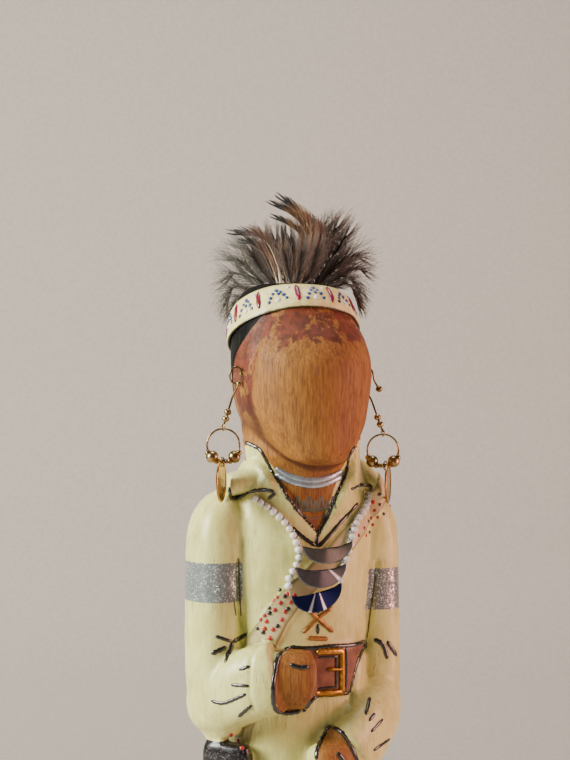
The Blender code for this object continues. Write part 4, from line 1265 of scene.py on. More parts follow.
class Paint:
    """Raised brush strokes and dots of one colour, laid on a surface."""

    def __init__(self, surface: Surface) -> None:
        """Start an empty layer."""
        self.surface = surface
        self.bm = bmesh.new()

    def ribbon(self, path: Sequence[Place], width: float, height: float, taper: float = 0.0012) -> None:
        """Lay one stroke with a rounded top.

        Args:
            path: Places and normals along it.
            width: Its full width, in metres.
            height: How far its middle stands up.
            taper: The length over which each end narrows.
        """
        spots = [spot for spot, _ in path]
        total = max(path_length(spots), 1e-6)
        run = 0.0
        rings = []
        for index, (spot, normal) in enumerate(path):
            if index:
                run += (spot - spots[index - 1]).length
            along = (spots[min(index + 1, len(spots) - 1)] - spots[max(index - 1, 0)]).normalized()
            side = along.cross(normal).normalized()
            near_end = min(run, total - run) / max(min(taper, total / 2), 1e-6)
            part = sqrt(min(1.0, 0.12 + near_end))
            wobble = 1.0 + 0.10 * sin(run * 2300.0 + spot.x * 900.0)
            ring = []
            for step in range(7):
                angle = pi * step / 6
                guess = spot + side * (cos(angle) * width / 2 * part * wobble)
                foot, around = self.surface.nearest(guess)
                ring.append(foot + around * (height * part * sin(angle) + 0.00004))
            ring += [ring[5] - normal * (height + 0.0003), ring[1] - normal * (height + 0.0003)]
            rings.append(ring)
        skin(self.bm, rings)

    def seen(self, pixels: Sequence[Row], width: float, height: float, smooth: bool = True) -> None:
        """Lay one stroke where the photograph shows it.

        Args:
            pixels: Places along it in the picture.
            width: Its full width, in metres.
            height: How far it stands up.
            smooth: Whether it runs in a curve through them.
        """
        rows = smooth_rows(pixels, 6) if smooth and len(pixels) > 2 else pixels
        flat = evened([Vector((row[0], row[1], 0.0)) for row in rows], 1.3)
        self.ribbon([self.surface.seen(spot.x, spot.y) for spot in flat], width, height)

    def dot(self, spot: Vector, normal: Vector, radius: float, height: float = 0.0004) -> None:
        """Lay one dot as a low dome."""
        side = normal.orthogonal().normalized()
        up = side.cross(normal)
        rings = [section(spot + normal * (height * rise), side, up, radius * reach, radius * reach, 2.0, 10)
                 for reach, rise in ((0.9, -0.6), (1.0, 0.1), (0.8, 0.65), (0.4, 0.95))]
        skin(self.bm, rings)

    def build(self, name: str, finish: Finish, slot: str = "painted_wood") -> Object:
        """Make the layer a piece of the doll."""
        obj = new_piece(name, self.bm, finish.make())
        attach(obj, BODY)
        return obj


@dataclass(frozen=True)
class BandSizes:
    """The beaded leather band round the head."""

    width: float = 0.0114
    thickness: float = 0.0010
    tilt: float = radians(-24.0)
    roll: float = radians(4.0)
    centre_height: float = 275.0
    rounding: float = 0.0004
    steps: int = 180
    red_length: float = 0.0066
    red_pixels: tuple = ((235.6, 320.0), (258.5, 300.0), (297.0, 288.5), (329.0, 291.5))
    hidden_motifs: int = 7
    radius: float = 0.0268
    red_width: float = 0.0019
    blue_dot: float = 0.00078
    large_white_dot: float = 0.00105
    small_white_dot: float = 0.0006
    chevron: tuple = (
        (-3.9, -2.5), (-3.0, -0.7), (-1.8, 1.0), (-0.2, 2.3), (1.5, 1.3), (2.7, -0.3), (3.8, -2.0),
        (0.3, 0.3),
    )


class Headband:
    """The band, with crimson strokes and chevrons of blue and white dots."""

    def __init__(self, sizes: BandSizes, head: Surface) -> None:
        """Find the band's own plane.

        Args:
            sizes: The band's sizes.
            head: The carved figure's surface.
        """
        self.sizes = sizes
        self.head = head
        self.centre = lift((0.0, 0.0, sizes.centre_height))
        self.tilt = Matrix.Rotation(sizes.tilt, 3, "X") @ Matrix.Rotation(sizes.roll, 3, "Y")
        self.up = self.tilt @ UPWARD

    def spot(self, angle: float, offset: float) -> Place:
        """The band's outer face at an angle and a height across its width."""
        way = self.tilt @ Vector((sin(angle), -cos(angle), 0))
        return self.face.toward(self.centre + self.up * offset + way * 0.1, -way)

    def angle(self, place: Vector) -> float:
        """The angle at which a place lies."""
        local = self.tilt.transposed() @ (place - self.centre)
        return atan2(local.x, -local.y)

    def strip(self, finish: Material) -> Object:
        """Make the strip with rounded edges."""
        size = self.sizes
        ways = [self.tilt @ Vector((sin(a), -cos(a), 0))
                for a in np.linspace(0, 2 * pi, size.steps, endpoint=False)]
        inside, outside = [], []
        for offset in np.linspace(-0.5, 0.5, 11) * size.width:
            origin = self.centre + self.up * float(offset)
            reach = [self.head.tree.ray_cast(origin, way)[3] for way in ways]
            kept = [max(reach[index - shift] for shift in range(-3, 4) if index - shift < len(reach))
                    for index in range(len(reach))]
            kept = [sum(kept[index - shift] for shift in range(5)) / 5 for index in range(len(kept))]
            to_edge = size.width / 2 - abs(float(offset))
            worn = size.rounding * (1 - sqrt(1 - (1 - min(to_edge / size.rounding, 1.0)) ** 2))
            outside.append([origin + way * (far + size.thickness - worn) for way, far in zip(ways, kept)])
            inside.append([origin + way * (far + 0.0001) for way, far in zip(ways, kept)])
        obj = ringed("beaded_headband", outside + inside[::-1], finish, 60, closed=True)
        heights = [(vert.co - self.centre).dot(self.up) / size.width for vert in obj.data.vertices]
        obj.data.attributes.new("across", "FLOAT", "POINT").data.foreach_set("value", heights)
        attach(obj, BODY)
        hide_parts("headband")
        self.face = Surface(obj)
        return obj

    def leather(self) -> Material:
        """The cream paint of the band, with a dark lower edge."""
        material, graph, shader = new_material("Band leather")
        clouds = graph.band(graph.noise(graph.object_place(), 420.0, 4.0), 0.36, 0.66)
        cream = graph.mix(clouds, tint(240, 228, 158), tint(222, 204, 128))
        across = graph.math("ADD", graph.attribute("across"),
                            graph.math("MULTIPLY", graph.noise(graph.object_place(), 700.0, 2.0), 0.06))
        low = graph.band(across, -0.455, -0.405, 1.0, 0.0)
        high = graph.band(across, 0.50, 0.54)
        dark = graph.math("MAXIMUM", low, high)
        graph.feed(shader.inputs["Base Color"], graph.mix(dark, cream, tint(66, 66, 36)))
        shader.inputs["Roughness"].default_value = 0.42
        graph.feed(shader.inputs["Normal"], graph.bump(clouds, 0.00005))
        return material

    def beadwork(self) -> None:
        """Lay the strokes and dots all the way round."""
        size = self.sizes
        seen = [self.angle(self.face.seen(*pixel)[0]) for pixel in size.red_pixels]
        gap = (seen[0] + 2 * pi - seen[-1]) / (size.hidden_motifs + 1)
        angles = seen + [seen[-1] + gap * (step + 1) for step in range(size.hidden_motifs)]
        red, blue, white = Paint(self.face), Paint(self.face), Paint(self.face)
        for index, angle in enumerate(angles):
            lean = 0.03 * sin(5.0 * index)
            path = [self.spot(angle + lean * part, size.red_length * part)
                    for part in np.linspace(-0.5, 0.62, 8)]
            red.ribbon(path, size.red_width, 0.0006, taper=0.002)
            following = angles[index + 1] if index + 1 < len(angles) else angles[0] + 2 * pi
            middle = (angle + following) / 2
            for order, (aside, rise) in enumerate(size.chevron):
                jitter = 0.22 * sin(7.0 * order + 3.0 * index)
                spot = self.spot(middle + (aside + jitter) * MM / size.radius, (rise + 0.3 + jitter) * MM)
                blue.dot(*spot, size.blue_dot + 0.00009 * sin(9.0 * order), 0.0004)
            white.dot(*self.spot(middle, -1.9 * MM), size.large_white_dot, 0.0006)
            white.dot(*self.spot(middle + 0.19, 3.2 * MM), size.small_white_dot, 0.0005)
        red.build("crimson_strokes", Finish("Crimson enamel", (140, 22, 62), (104, 12, 44), 0.24,
                                            coat=0.3, bump=0.0))
        blue.build("blue_dots", Finish("Blue enamel", (56, 84, 148), (34, 54, 108), 0.24, coat=0.3, bump=0.0))
        white.build("white_dots", Finish("White enamel", (240, 240, 232), (226, 228, 220), 0.2, coat=0.5,
                                         bump=0.0))


class Necklace:
    """Two strands of white and clear beads on the chest."""

    def __init__(self, chest: Surface, trees: dict[str, GeometryTree]) -> None:
        """Keep the chest's surface and the trees."""
        self.chest = chest
        self.trees = trees
        self.bead = 0.0029
        self.clear = 0.0014

    def strand(self, node: str, rows: Sequence[Row], white: Material, glass: Material,
               thread: Material) -> None:
        """Thread one strand.

        Args:
            node: The model's own strand.
            rows: Side and height along it, in shares.
            white: The large beads' finish.
            glass: The small beads' finish.
            thread: The thread's finish.
        """
        points = []
        for side, height in rows:
            hit, normal = self.chest.from_front(side, height)
            points.append(hit + normal * (self.bead / 2 + 0.0003))
        path = smooth_path(points, 8)
        total = path_length(path)
        pitch = self.bead * 0.95
        count = int((total - self.bead) / pitch)
        large, small, line = Lines(), Lines(), Lines()
        for index in range(count + 1):
            position = self.bead / 2 + index * pitch
            spot = along_path(path, position)
            along = (along_path(path, position + 0.0004) - spot).normalized()
            large.add([spot], [self.bead / 2 * (0.94 + 0.08 * sin(5.0 * index))], along)
            if index < count:
                between = along_path(path, position + pitch / 2)
                _, normal = self.chest.nearest(between)
                aside = along.cross(normal) * (0.0009 if side > 0 else -0.0009)
                small.add([between + aside - normal * 0.0004], [self.clear / 2], along)
        smooth = evened(path, 0.0012)
        line.add(smooth, [0.0003] * len(smooth), Vector((0, -1, 0)))
        beads = self.trees["beads"].grow(node + "_white", large.mesh(), white)
        clear = self.trees["beads"].grow(node + "_clear", small.mesh(), glass, Flatness=0.95)
        cord = self.trees["lines"].grow(node + "_thread", line.mesh(), thread, Sides=8)
        for obj in (beads, clear, cord):
            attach(obj, BODY)
        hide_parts(node)

    def build(self) -> None:
        """Make both strands."""
        white = Finish("White beads", (242, 242, 238), (230, 230, 224), 0.16, coat=0.5, bump=0.0).make()
        glass = Finish("Clear beads", (196, 204, 206), (150, 158, 162), 0.08, 0.55, coat=0.6, bump=0.0).make()
        thread = Finish("Thread", (170, 168, 150), (150, 146, 128), 0.7).make()
        self.strand("necklace_right_strand", (
            (-21.3, 210.3), (-16.7, 206.2), (-12.5, 201.1), (-9.3, 194.8), (-8.6, 189.0), (-11.5, 181.0),
            (-11.6, 176.0)), white, glass, thread)
        self.strand("necklace_left_strand", (
            (24.0, 210.6), (20.7, 206.1), (15.5, 201.7), (12.6, 196.5), (10.3, 189.5), (8.4, 184.2),
            (6.6, 178.0)), white, glass, thread)


@dataclass(frozen=True)
class TurnedPlate:
    """Metal that was polished in circles, so that light fans out over it, with painted highlight streaks at
    set angles round its centre.
    """

    name: str
    color: tuple
    centre: tuple
    roughness: float = 0.28
    painted_highlight_rays: tuple = ()

    def make(self) -> Material:
        """Make the material, with the polish running round the centre and painted highlight streaks at the
        given angles.
        """
        material, graph, shader = new_material(self.name)
        from_centre = graph.node("ShaderNodeVectorMath", {0: graph.object_place(), 1: self.centre},
                                 operation="SUBTRACT")
        normal = graph.node("ShaderNodeNewGeometry").outputs["Normal"]
        round_it = graph.node("ShaderNodeVectorMath", {0: normal, 1: from_centre.outputs[0]},
                              operation="CROSS_PRODUCT")
        graph.feed(shader.inputs["Tangent"], round_it.outputs[0])
        haze = graph.band(graph.noise(graph.object_place(), 300.0, 4.0), 0.4, 0.7)
        color = graph.mix(haze, self.color, tuple(part * 0.7 for part in self.color))
        parts = graph.node("ShaderNodeSeparateXYZ", {0: from_centre.outputs[0]}).outputs
        angle = graph.math("ARCTAN2", parts[0], graph.math("MULTIPLY", parts[2], -1.0))
        # Painted highlight: near-white streaks at set angles from the centre stand in for the lamps'
        # reflections fanning over the metal.
        for highlight_angle in self.painted_highlight_rays:
            away = graph.math("ABSOLUTE", graph.math("SUBTRACT", angle, highlight_angle))
            color = graph.mix(graph.band(away, 0.03, 0.10, 1.0, 0.0), color, tint(232, 236, 240))
        graph.feed(shader.inputs["Base Color"], color)
        dull = graph.band(haze, 0.0, 1.0, self.roughness, self.roughness * 1.3)
        graph.feed(shader.inputs["Roughness"], dull)
        shader.inputs["Anisotropic"].default_value = 0.85
        shader.inputs["Metallic"].default_value = 1.0
        return material


@dataclass(frozen=True)
class Gorget:
    """One crescent plate in front of the beads."""

    node: str
    color: tuple
    tilt: float
    drop: float
    sag: float = 0.0016
    half: float = 0.0100
    painted_highlight_rays: tuple = ()

    def build(self) -> Object:
        """Make the plate where the model's own is.

        Returns:
            The object.
        """
        low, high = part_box(self.node)
        turn = Matrix.Rotation(radians(-self.tilt), 3, "Y")
        middle = Vector(((low[0] + high[0]) / 2, 0.0, 0.0))
        rise = sin(radians(self.tilt)) * self.half
        middle.z = high[2] - rise - 0.0004
        steps = 48
        rings = []
        for depth, inset in ((high[1], 0.0003), (high[1] - 0.0002, 0.0), (low[1] + 0.0003, 0.0),
                             (low[1], 0.00045)):
            ring = []
            for step in range(2 * steps):
                angle = pi * step / steps
                across = -cos(angle) * (self.half - inset)
                if step <= steps:
                    height = -sin(angle) * (self.drop - inset)
                else:
                    height = 0.0004 + sin(angle) * (self.sag + inset)
                ring.append(middle + turn @ Vector((across, 0, height)) + Vector((0, depth, 0)))
            rings.append(ring)
        centre = middle + Vector((0, low[1], 0.0015))
        finish = TurnedPlate("Plate " + self.node, self.color, tuple(centre), painted_highlight_rays=self.painted_highlight_rays).make()
        obj = ringed(self.node + "_plate", rings, finish, 25)
        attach(obj, BODY)
        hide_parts(self.node)
        return obj


@dataclass(frozen=True)
class EarringSizes:
    """Wire, hoop, beads and coin of an earring."""

    wire: float = 0.00075
    loop: float = 0.0048
    ball: float = 0.0026
    hoop: float = 0.0115
    bead: float = 0.0046
    coin: float = 0.0152
    coin_thickness: float = 0.0009
    link_wire: float = 0.0005
    bead_turn: float = 0.12
    coin_turn: float = radians(-35.0)
    ear_height: float = 254.4
    free_end: tuple = ((368.0, 366.0), (372.5, 372.0), (374.5, 381.0), (379.0, 389.0))


class Earring:
    """One earring: a looped wire, two balls, a beaded hoop and a coin."""

    def __init__(self, hand: int, end: str, sizes: EarringSizes, head: Surface,
                 trees: dict[str, GeometryTree]) -> None:
        """Keep what it hangs from.

        Args:
            hand: Minus one at the doll's right ear, one at the left.
            end: The side's name.
            sizes: Its sizes.
            head: The carved figure's surface.
            trees: The trees for wires and beads.
        """
        self.hand = hand
        self.end = end
        self.sizes = sizes
        self.trees = trees
        self.start = head.toward(lift((hand * 60.0, -7.0, sizes.ear_height)), Vector((-hand, 0, 0)))[0]

    def round_wire(self, lines: Lines, path: Sequence[Vector], thickness: float) -> None:
        """Add a stretch of round wire."""
        even = evened(path, 0.0004)
        lines.add(even, [thickness / 2] * len(even), Vector((0.3, -0.9, 0.1)).normalized())

    def build(self, brass: Material, gold: Material) -> None:
        """Make the pieces.

        Args:
            brass: The wire's and the balls' finish.
            gold: The coin's finish.
        """
        size, hand = self.sizes, self.hand
        radius = size.hoop / 2
        low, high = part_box("ear_hoop_" + self.end)
        centre = Vector(((low[0] + high[0]) / 2, (low[1] + high[1]) / 2, high[2] - radius - size.wire / 2))
        across = VIEW.right()
        down = Vector((0, 0, -1))
        foot = centre - down * (radius + size.wire)
        wire = [self.start]
        for step in range(9):
            angle = pi * (1.0 - 1.7 * step / 8)
            wire.append(self.start + size.loop / 2 * Vector((hand * (1 + cos(angle)), -0.2 * sin(angle),
                                                             1.25 * sin(angle))))
        bend = self.start.lerp(foot, 0.42) + Vector((hand * 0.0006, 0, 0))
        path = smooth_path(wire + [bend, bend.lerp(foot, 0.5), foot], 6)
        total = path_length(path)
        hook, balls = Lines(), Lines()
        self.round_wire(hook, path, size.wire)
        loop_angle = [2 * pi * step / 24 for step in range(25)]
        link = foot + Vector((0, 0, -0.0002))
        self.round_wire(hook, [link + Vector((0.0, 0.0011 * sin(a), 0.0013 * cos(a)))
                               for a in loop_angle], size.link_wire)
        for back in (1.25, 2.35):
            spot = along_path(path, total - back * size.ball)
            balls.add([spot], [size.ball / 2], down)
        for step in (0.02, 0.45):
            balls.add([along_path(path, total * step)], [size.ball * 0.36], down)
        if hand > 0:
            depth = -self.start.dot(VIEW.back())
            end = smooth_path([VIEW.place(px, py, depth) for px, py in size.free_end], 6)
            self.round_wire(hook, end, size.wire)
            balls.add([end[-1]], [size.ball * 0.5], down)
        hoop, beads = Lines(), Lines()
        ring = [centre + across * radius * sin(a) + Vector((0, 0, radius * cos(a)))
                for a in (2 * pi * step / 96 for step in range(97))]
        self.round_wire(hoop, ring, size.wire)
        for turn in (-size.bead_turn, size.bead_turn):
            angle = 2 * pi * (0.5 + turn)
            spot = centre + across * radius * sin(angle) + Vector((0, 0, radius * cos(angle)))
            along = across * cos(angle) - Vector((0, 0, sin(angle)))
            beads.add([spot], [size.bead / 2], along)
            for side in (-1, 1):
                cap = spot + along * (side * size.bead * 0.46)
                beads.add([cap], [size.bead * 0.24], along)
        bottom = centre - Vector((0, 0, radius))
        for step in (-1, 0, 1):
            beads.add([bottom + across * (0.0011 * step)], [0.0009], across)
        low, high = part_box("ear_coin_" + self.end)
        middle = (Vector(low) + Vector(high)) / 2
        hang = bottom.lerp(middle + Vector((0, 0, size.coin * 0.42)), 0.5)
        self.round_wire(hoop, [hang + Vector((0.0008 * sin(a), 0.0, 0.0016 * cos(a)))
                               for a in loop_angle], size.link_wire)
        for name, lines, kind, node in (
                ("hook", hook, "lines", "ear_hook_"), ("hook_balls", balls, "beads", None),
                ("hoop", hoop, "lines", "ear_hoop_"), ("hoop_beads", beads, "beads", None)):
            numbers = {"Sides": 12} if kind == "lines" else {"Flatness": 0.96}
            obj = self.trees[kind].grow(f"earring_{name}_{self.end}", lines.mesh(), brass, **numbers)
            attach(obj, BODY)
            if node:
                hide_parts(node + self.end)
        self.coin(middle, gold)

    def coin(self, middle: Vector, gold: Material) -> None:
        """Make the coin, with a raised rim and a low step inside it."""
        turn = self.sizes.coin_turn
        out = Vector((cos(turn), sin(turn), 0.0))
        side = Vector((-sin(turn), cos(turn), 0.0))
        disc = self.sizes.coin / 2
        profile = ((-0.10, 0.30), (-0.16, 0.74), (-0.16, 0.86), (-0.42, 0.90), (-0.42, 0.97), (-0.2, 1.0),
                   (0.2, 1.0), (0.42, 0.97), (0.42, 0.90), (0.16, 0.86), (0.16, 0.74), (0.10, 0.30))
        rings = []
        for offset, part in profile:
            rings.append([middle + out * (offset * self.sizes.coin_thickness) + side * (disc * part * cos(a))
                          + Vector((0, 0, disc * part * sin(a)))
                          for a in (2 * pi * step / 72 for step in range(72))])
        obj = ringed("earring_coin_" + self.end, rings, gold, 45)
        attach(obj, BODY)
        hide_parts("ear_coin_" + self.end)


@dataclass(frozen=True)
class FeatherFinish:
    """A feather's colours along its length and out along its barbs."""

    name: str
    base: tuple
    other: tuple
    tip: tuple
    tip_start: float = 0.8
    fringe: tuple = (0.0, 0.0, 0.0)
    fringe_part: float = 0.0
    quill: tuple = tint(150, 132, 100)

    def make(self) -> Material:
        """Make the material."""
        material, graph, shader = new_material(self.name)
        tints = graph.node("ShaderNodeAttribute", attribute_name="tints").outputs["Vector"]
        parts = graph.node("ShaderNodeSeparateXYZ", {0: tints})
        along, out, shade = parts.outputs
        color = graph.mix(shade, self.base, self.other)
        fringed = graph.math("MULTIPLY", graph.band(out, 0.35, 1.0), self.fringe_part)
        color = graph.mix(fringed, color, self.fringe)
        color = graph.mix(graph.band(along, self.tip_start - 0.04, self.tip_start + 0.05), color, self.tip)
        color = graph.mix(graph.band(shade, 1.4, 1.6), color, self.quill)
        graph.feed(shader.inputs["Base Color"], color)
        shader.inputs["Roughness"].default_value = 0.5
        shader.inputs["Sheen Weight"].default_value = 0.25
        shader.inputs["Sheen Roughness"].default_value = 0.4
        return material


@dataclass(frozen=True)
class Plume:
    """One feather or wisp of down, by its shaft in the picture."""

    shaft: tuple
    half_width: float
    lean: float = 30.0
    density: float = 3.4
    depth: float = 0.0
    shaft_width: float = 0.34
    fluff: float = 0.0
    barb: float = 0.20
    bare: float = 0.12


@dataclass(frozen=True)
class FeatherGroup:
    """All that one feather or tuft of the model is made of."""

    node: str
    layer: float
    finish: FeatherFinish
    plumes: tuple
    slot: str = "feather"


def down_plumes(*rows: tuple) -> tuple[Plume, ...]:
    """Wisps of down, from rows of half width, depth and shaft."""
    return tuple(Plume(shaft, half_width, lean=36.0, density=5.2, depth=depth, shaft_width=0.2, fluff=1.0,
                       barb=0.10, bare=0.01) for half_width, depth, shaft in rows)


class Feathers:
    """The spray of feathers and down behind the headband."""

    rust = FeatherFinish("Rust feather", tint(128, 88, 44), tint(56, 38, 26), tint(22, 18, 16), 0.84,
                         quill=tint(92, 66, 40))
    grizzled = FeatherFinish("Pale quill feather", tint(112, 76, 54), tint(74, 58, 48), tint(26, 22, 20),
                             0.80, quill=tint(206, 196, 160))
    golden = FeatherFinish("Golden hackle", tint(146, 106, 52), tint(62, 46, 30), tint(30, 24, 18), 0.74,
                           quill=tint(92, 70, 42))
    brown = FeatherFinish("Brown down", tint(92, 72, 58), tint(50, 40, 33), tint(84, 72, 60), 1.2,
                          tint(130, 112, 92), 0.42, tint(70, 56, 46))
    grey = FeatherFinish("Grey down", tint(88, 82, 68), tint(112, 106, 90), tint(104, 98, 84), 1.2,
                         tint(140, 136, 120), 0.4, tint(96, 88, 74))

    def groups(self) -> tuple[FeatherGroup, ...]:
        """Every group, from the front layer to the back."""
        return (
            FeatherGroup("feather_golden", -7.05, self.golden, (
                Plume(((287, 288), (286, 266), (285, 250), (284, 236)), 2.8, 26.0),
                Plume(((290, 288), (292, 270), (293, 256), (291, 243)), 2.2, 24.0, depth=0.6),)),
            FeatherGroup("feather_pale", -3.75, self.grizzled, (
                Plume(((281, 290), (279.5, 274), (276.5, 263), (269, 246), (258, 236.5), (238, 233)),
                      3.0, 27.0, shaft_width=0.55),
                Plume(((278, 290), (274, 272), (267, 256), (256, 246), (247, 243)), 2.6, 27.0, depth=1.2),)),
            FeatherGroup("feather_rust", -0.35, self.rust, (
                Plume(((300, 290), (306, 268), (312, 246), (311, 230), (301, 215), (286, 202)), 3.2, 20.0),
                Plume(((296, 290), (302, 268), (307, 246), (305, 230), (294, 216), (277, 206)), 2.8, 20.0,
                      depth=0.9),
                Plume(((292, 290), (297, 268), (301, 248), (300, 235), (291, 226), (278, 219)), 2.4, 24.0,
                      depth=1.6),
                Plume(((302, 290), (310, 268), (318, 248), (319, 234), (310, 220)), 2.6, 22.0, depth=1.8),)),
            FeatherGroup("feather_brown", 4.85, self.brown, down_plumes(
                (6.0, 0.0, ((282, 292), (276, 272), (270, 254), (266, 242))),
                (6.0, -2.4, ((286, 292), (283, 270), (279, 252), (276, 240))),
                (5.0, -13.2, ((292, 292), (290, 276), (287, 262), (285, 254))),
                (5.0, -13.6, ((296, 292), (299, 276), (301, 262), (302, 252))),
                (5.2, -12.6, ((301, 293), (308, 277), (314, 262), (317, 250))),
                (6.0, -1.0, ((290, 292), (290, 270), (290, 252), (289, 240))),
                (6.5, 1.0, ((294, 292), (298, 270), (303, 252), (305, 240))),
                (6.0, 0.0, ((298, 292), (306, 272), (315, 256), (320, 246))),
                (5.0, 1.4, ((276, 293), (266, 276), (258, 262), (252, 252)))), "down"),
            FeatherGroup("feather_fluff_right", 10.65, self.brown, down_plumes(
                (6.5, 0.0, ((303, 294), (308, 268), (313, 250), (319, 237), (325, 228))),
                (6.5, -1.2, ((307, 294), (315, 268), (324, 250), (331, 236), (336, 228))),
                (6.5, 1.4, ((310, 294), (322, 272), (334, 254), (341, 243), (346, 236))),
                (6.0, -0.6, ((312, 295), (326, 276), (342, 262), (352, 256), (360, 258))),
                (5.0, 0.6, ((316, 297), (332, 282), (345, 272), (356, 268), (364, 272))),
                (5.5, 1.8, ((300, 294), (303, 270), (307, 250), (312, 238)))), "down"),
            FeatherGroup("feather_droop_right", 5.45, self.brown, down_plumes(
                (5.0, 0.0, ((322, 294), (332, 282), (344, 276), (353, 281), (360, 292))),
                (3.6, -1.0, ((326, 296), (338, 286), (348, 284), (356, 294), (361, 308))),
                (4.5, 1.0, ((318, 293), (326, 276), (338, 264), (350, 262)))), "down"),
            FeatherGroup("feather_down_left", 11.25, self.grey, down_plumes(
                (6.5, 0.0, ((272, 296), (264, 272), (255, 256), (244, 248))),
                (6.5, 1.0, ((268, 298), (256, 276), (243, 262), (233, 259))),
                (6.0, -1.0, ((266, 300), (251, 282), (238, 273), (229, 278))),
                (5.0, 0.0, ((262, 302), (247, 290), (236, 286), (229, 294), (226, 304))),
                (4.0, -1.8, ((257, 305), (246, 297), (238, 298), (233, 306), (230, 314))),
                (5.5, 1.6, ((276, 296), (272, 272), (266, 256), (259, 247)))), "down"),
        )

    def grow(self, lines: Lines, plume: Plume, layer: float, crown: Surface,
             draw: np.random.Generator) -> None:
        """Grow one plume: its shaft, then its barbs on both sides.

        Args:
            lines: Where its lines go.
            plume: Its shape.
            layer: How far behind the figure's axis it stands, in millimetres.
            crown: The head's surface, in which it is rooted.
            draw: The source of small differences.
        """
        spots = [VIEW.place(px, py, (layer + plume.depth) * MM) for px, py in plume.shaft]
        top = crown.toward(Vector((spots[0].x, spots[0].y, 0.5)), Vector((0, 0, -1)))
        if top is not None:
            spots[0].z = top[0].z - 0.0006
        path = evened(smooth_path(spots, 8), 0.0009)
        total = path_length(path)
        count = len(path)
        shares = [index / (count - 1) for index in range(count)]
        facing = VIEW.back()
        quill = plume.shaft_width * MM
        lines.add(path, [quill * (1.0 - 0.8 * part) for part in shares], facing,
                  [(part, 0.0, 2.0) for part in shares])
        amount = int(total / MM * plume.density)
        for index in range(amount):
            for side in (-1, 1):
                part = plume.bare + (0.995 - plume.bare) * (index + draw.uniform()) / amount
                spot = along_path(path, part * total)
                ahead = along_path(path, min(part * total + 0.001, total))
                behind = along_path(path, max(part * total - 0.001, 0.0))
                along = (ahead - behind).normalized()
                aside = along.cross(facing).normalized() * side
                breadth = plume.half_width * MM * min(1.0, 0.4 + 2.4 * part) * (1.0 - 0.62 * part ** 3)
                lean = radians(plume.lean * draw.uniform(0.8, 1.15)) * (1.0 - 0.5 * part)
                length = breadth / max(sin(lean), 0.22) * draw.uniform(0.75, 1.0)
                length = min(length, plume.half_width * MM * 2.6)
                steps = 7 if plume.fluff else 5
                wave = draw.uniform(0.0, 6.3)
                drift = facing * draw.normal(0.0, 0.10 + 0.30 * plume.fluff)
                shade = float(np.clip(draw.normal(0.45, 0.3), 0.0, 1.0))
                barb, tints = [], []
                for step in range(steps + 1):
                    out = step / steps
                    bend = lean * (1.0 - 0.45 * out)
                    place = spot + (along * cos(bend) + aside * sin(bend) + drift * out) * (length * out)
                    if plume.fluff:
                        sway = plume.fluff * out * length * 0.10 * sin(wave + 5.0 * out)
                        place = place + aside * sway + facing * (sway * cos(wave))
                    barb.append(place)
                    tints.append((part + 0.10 * out, out, shade))
                thick = [plume.barb * MM * (1.0 - 0.72 * out / steps) for out in range(steps + 1)]
                lines.add(barb, thick, facing, tints)

    def build(self, crown: Surface, trees: dict[str, GeometryTree]) -> None:
        """Make every group.

        Args:
            crown: The head's surface.
            trees: The tree for lines.
        """
        made: dict[str, Material] = {}
        for order, group in enumerate(self.groups()):
            draw = np.random.default_rng(40 + order)
            lines = Lines()
            for plume in group.plumes:
                self.grow(lines, plume, group.layer, crown, draw)
            look = group.finish
            if look.name not in made:
                made[look.name] = look.make()
            soft = group.slot == "down"
            obj = trees["lines"].grow(group.node + "_barbs", lines.mesh(), made[look.name],
                                      Sides=3 if soft else 4, Flatness=1.0 if soft else 0.3)
            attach(obj, BODY)
            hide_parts(group.node)
            LOG.info("%s %d", obj.name, len(obj.data.polygons))


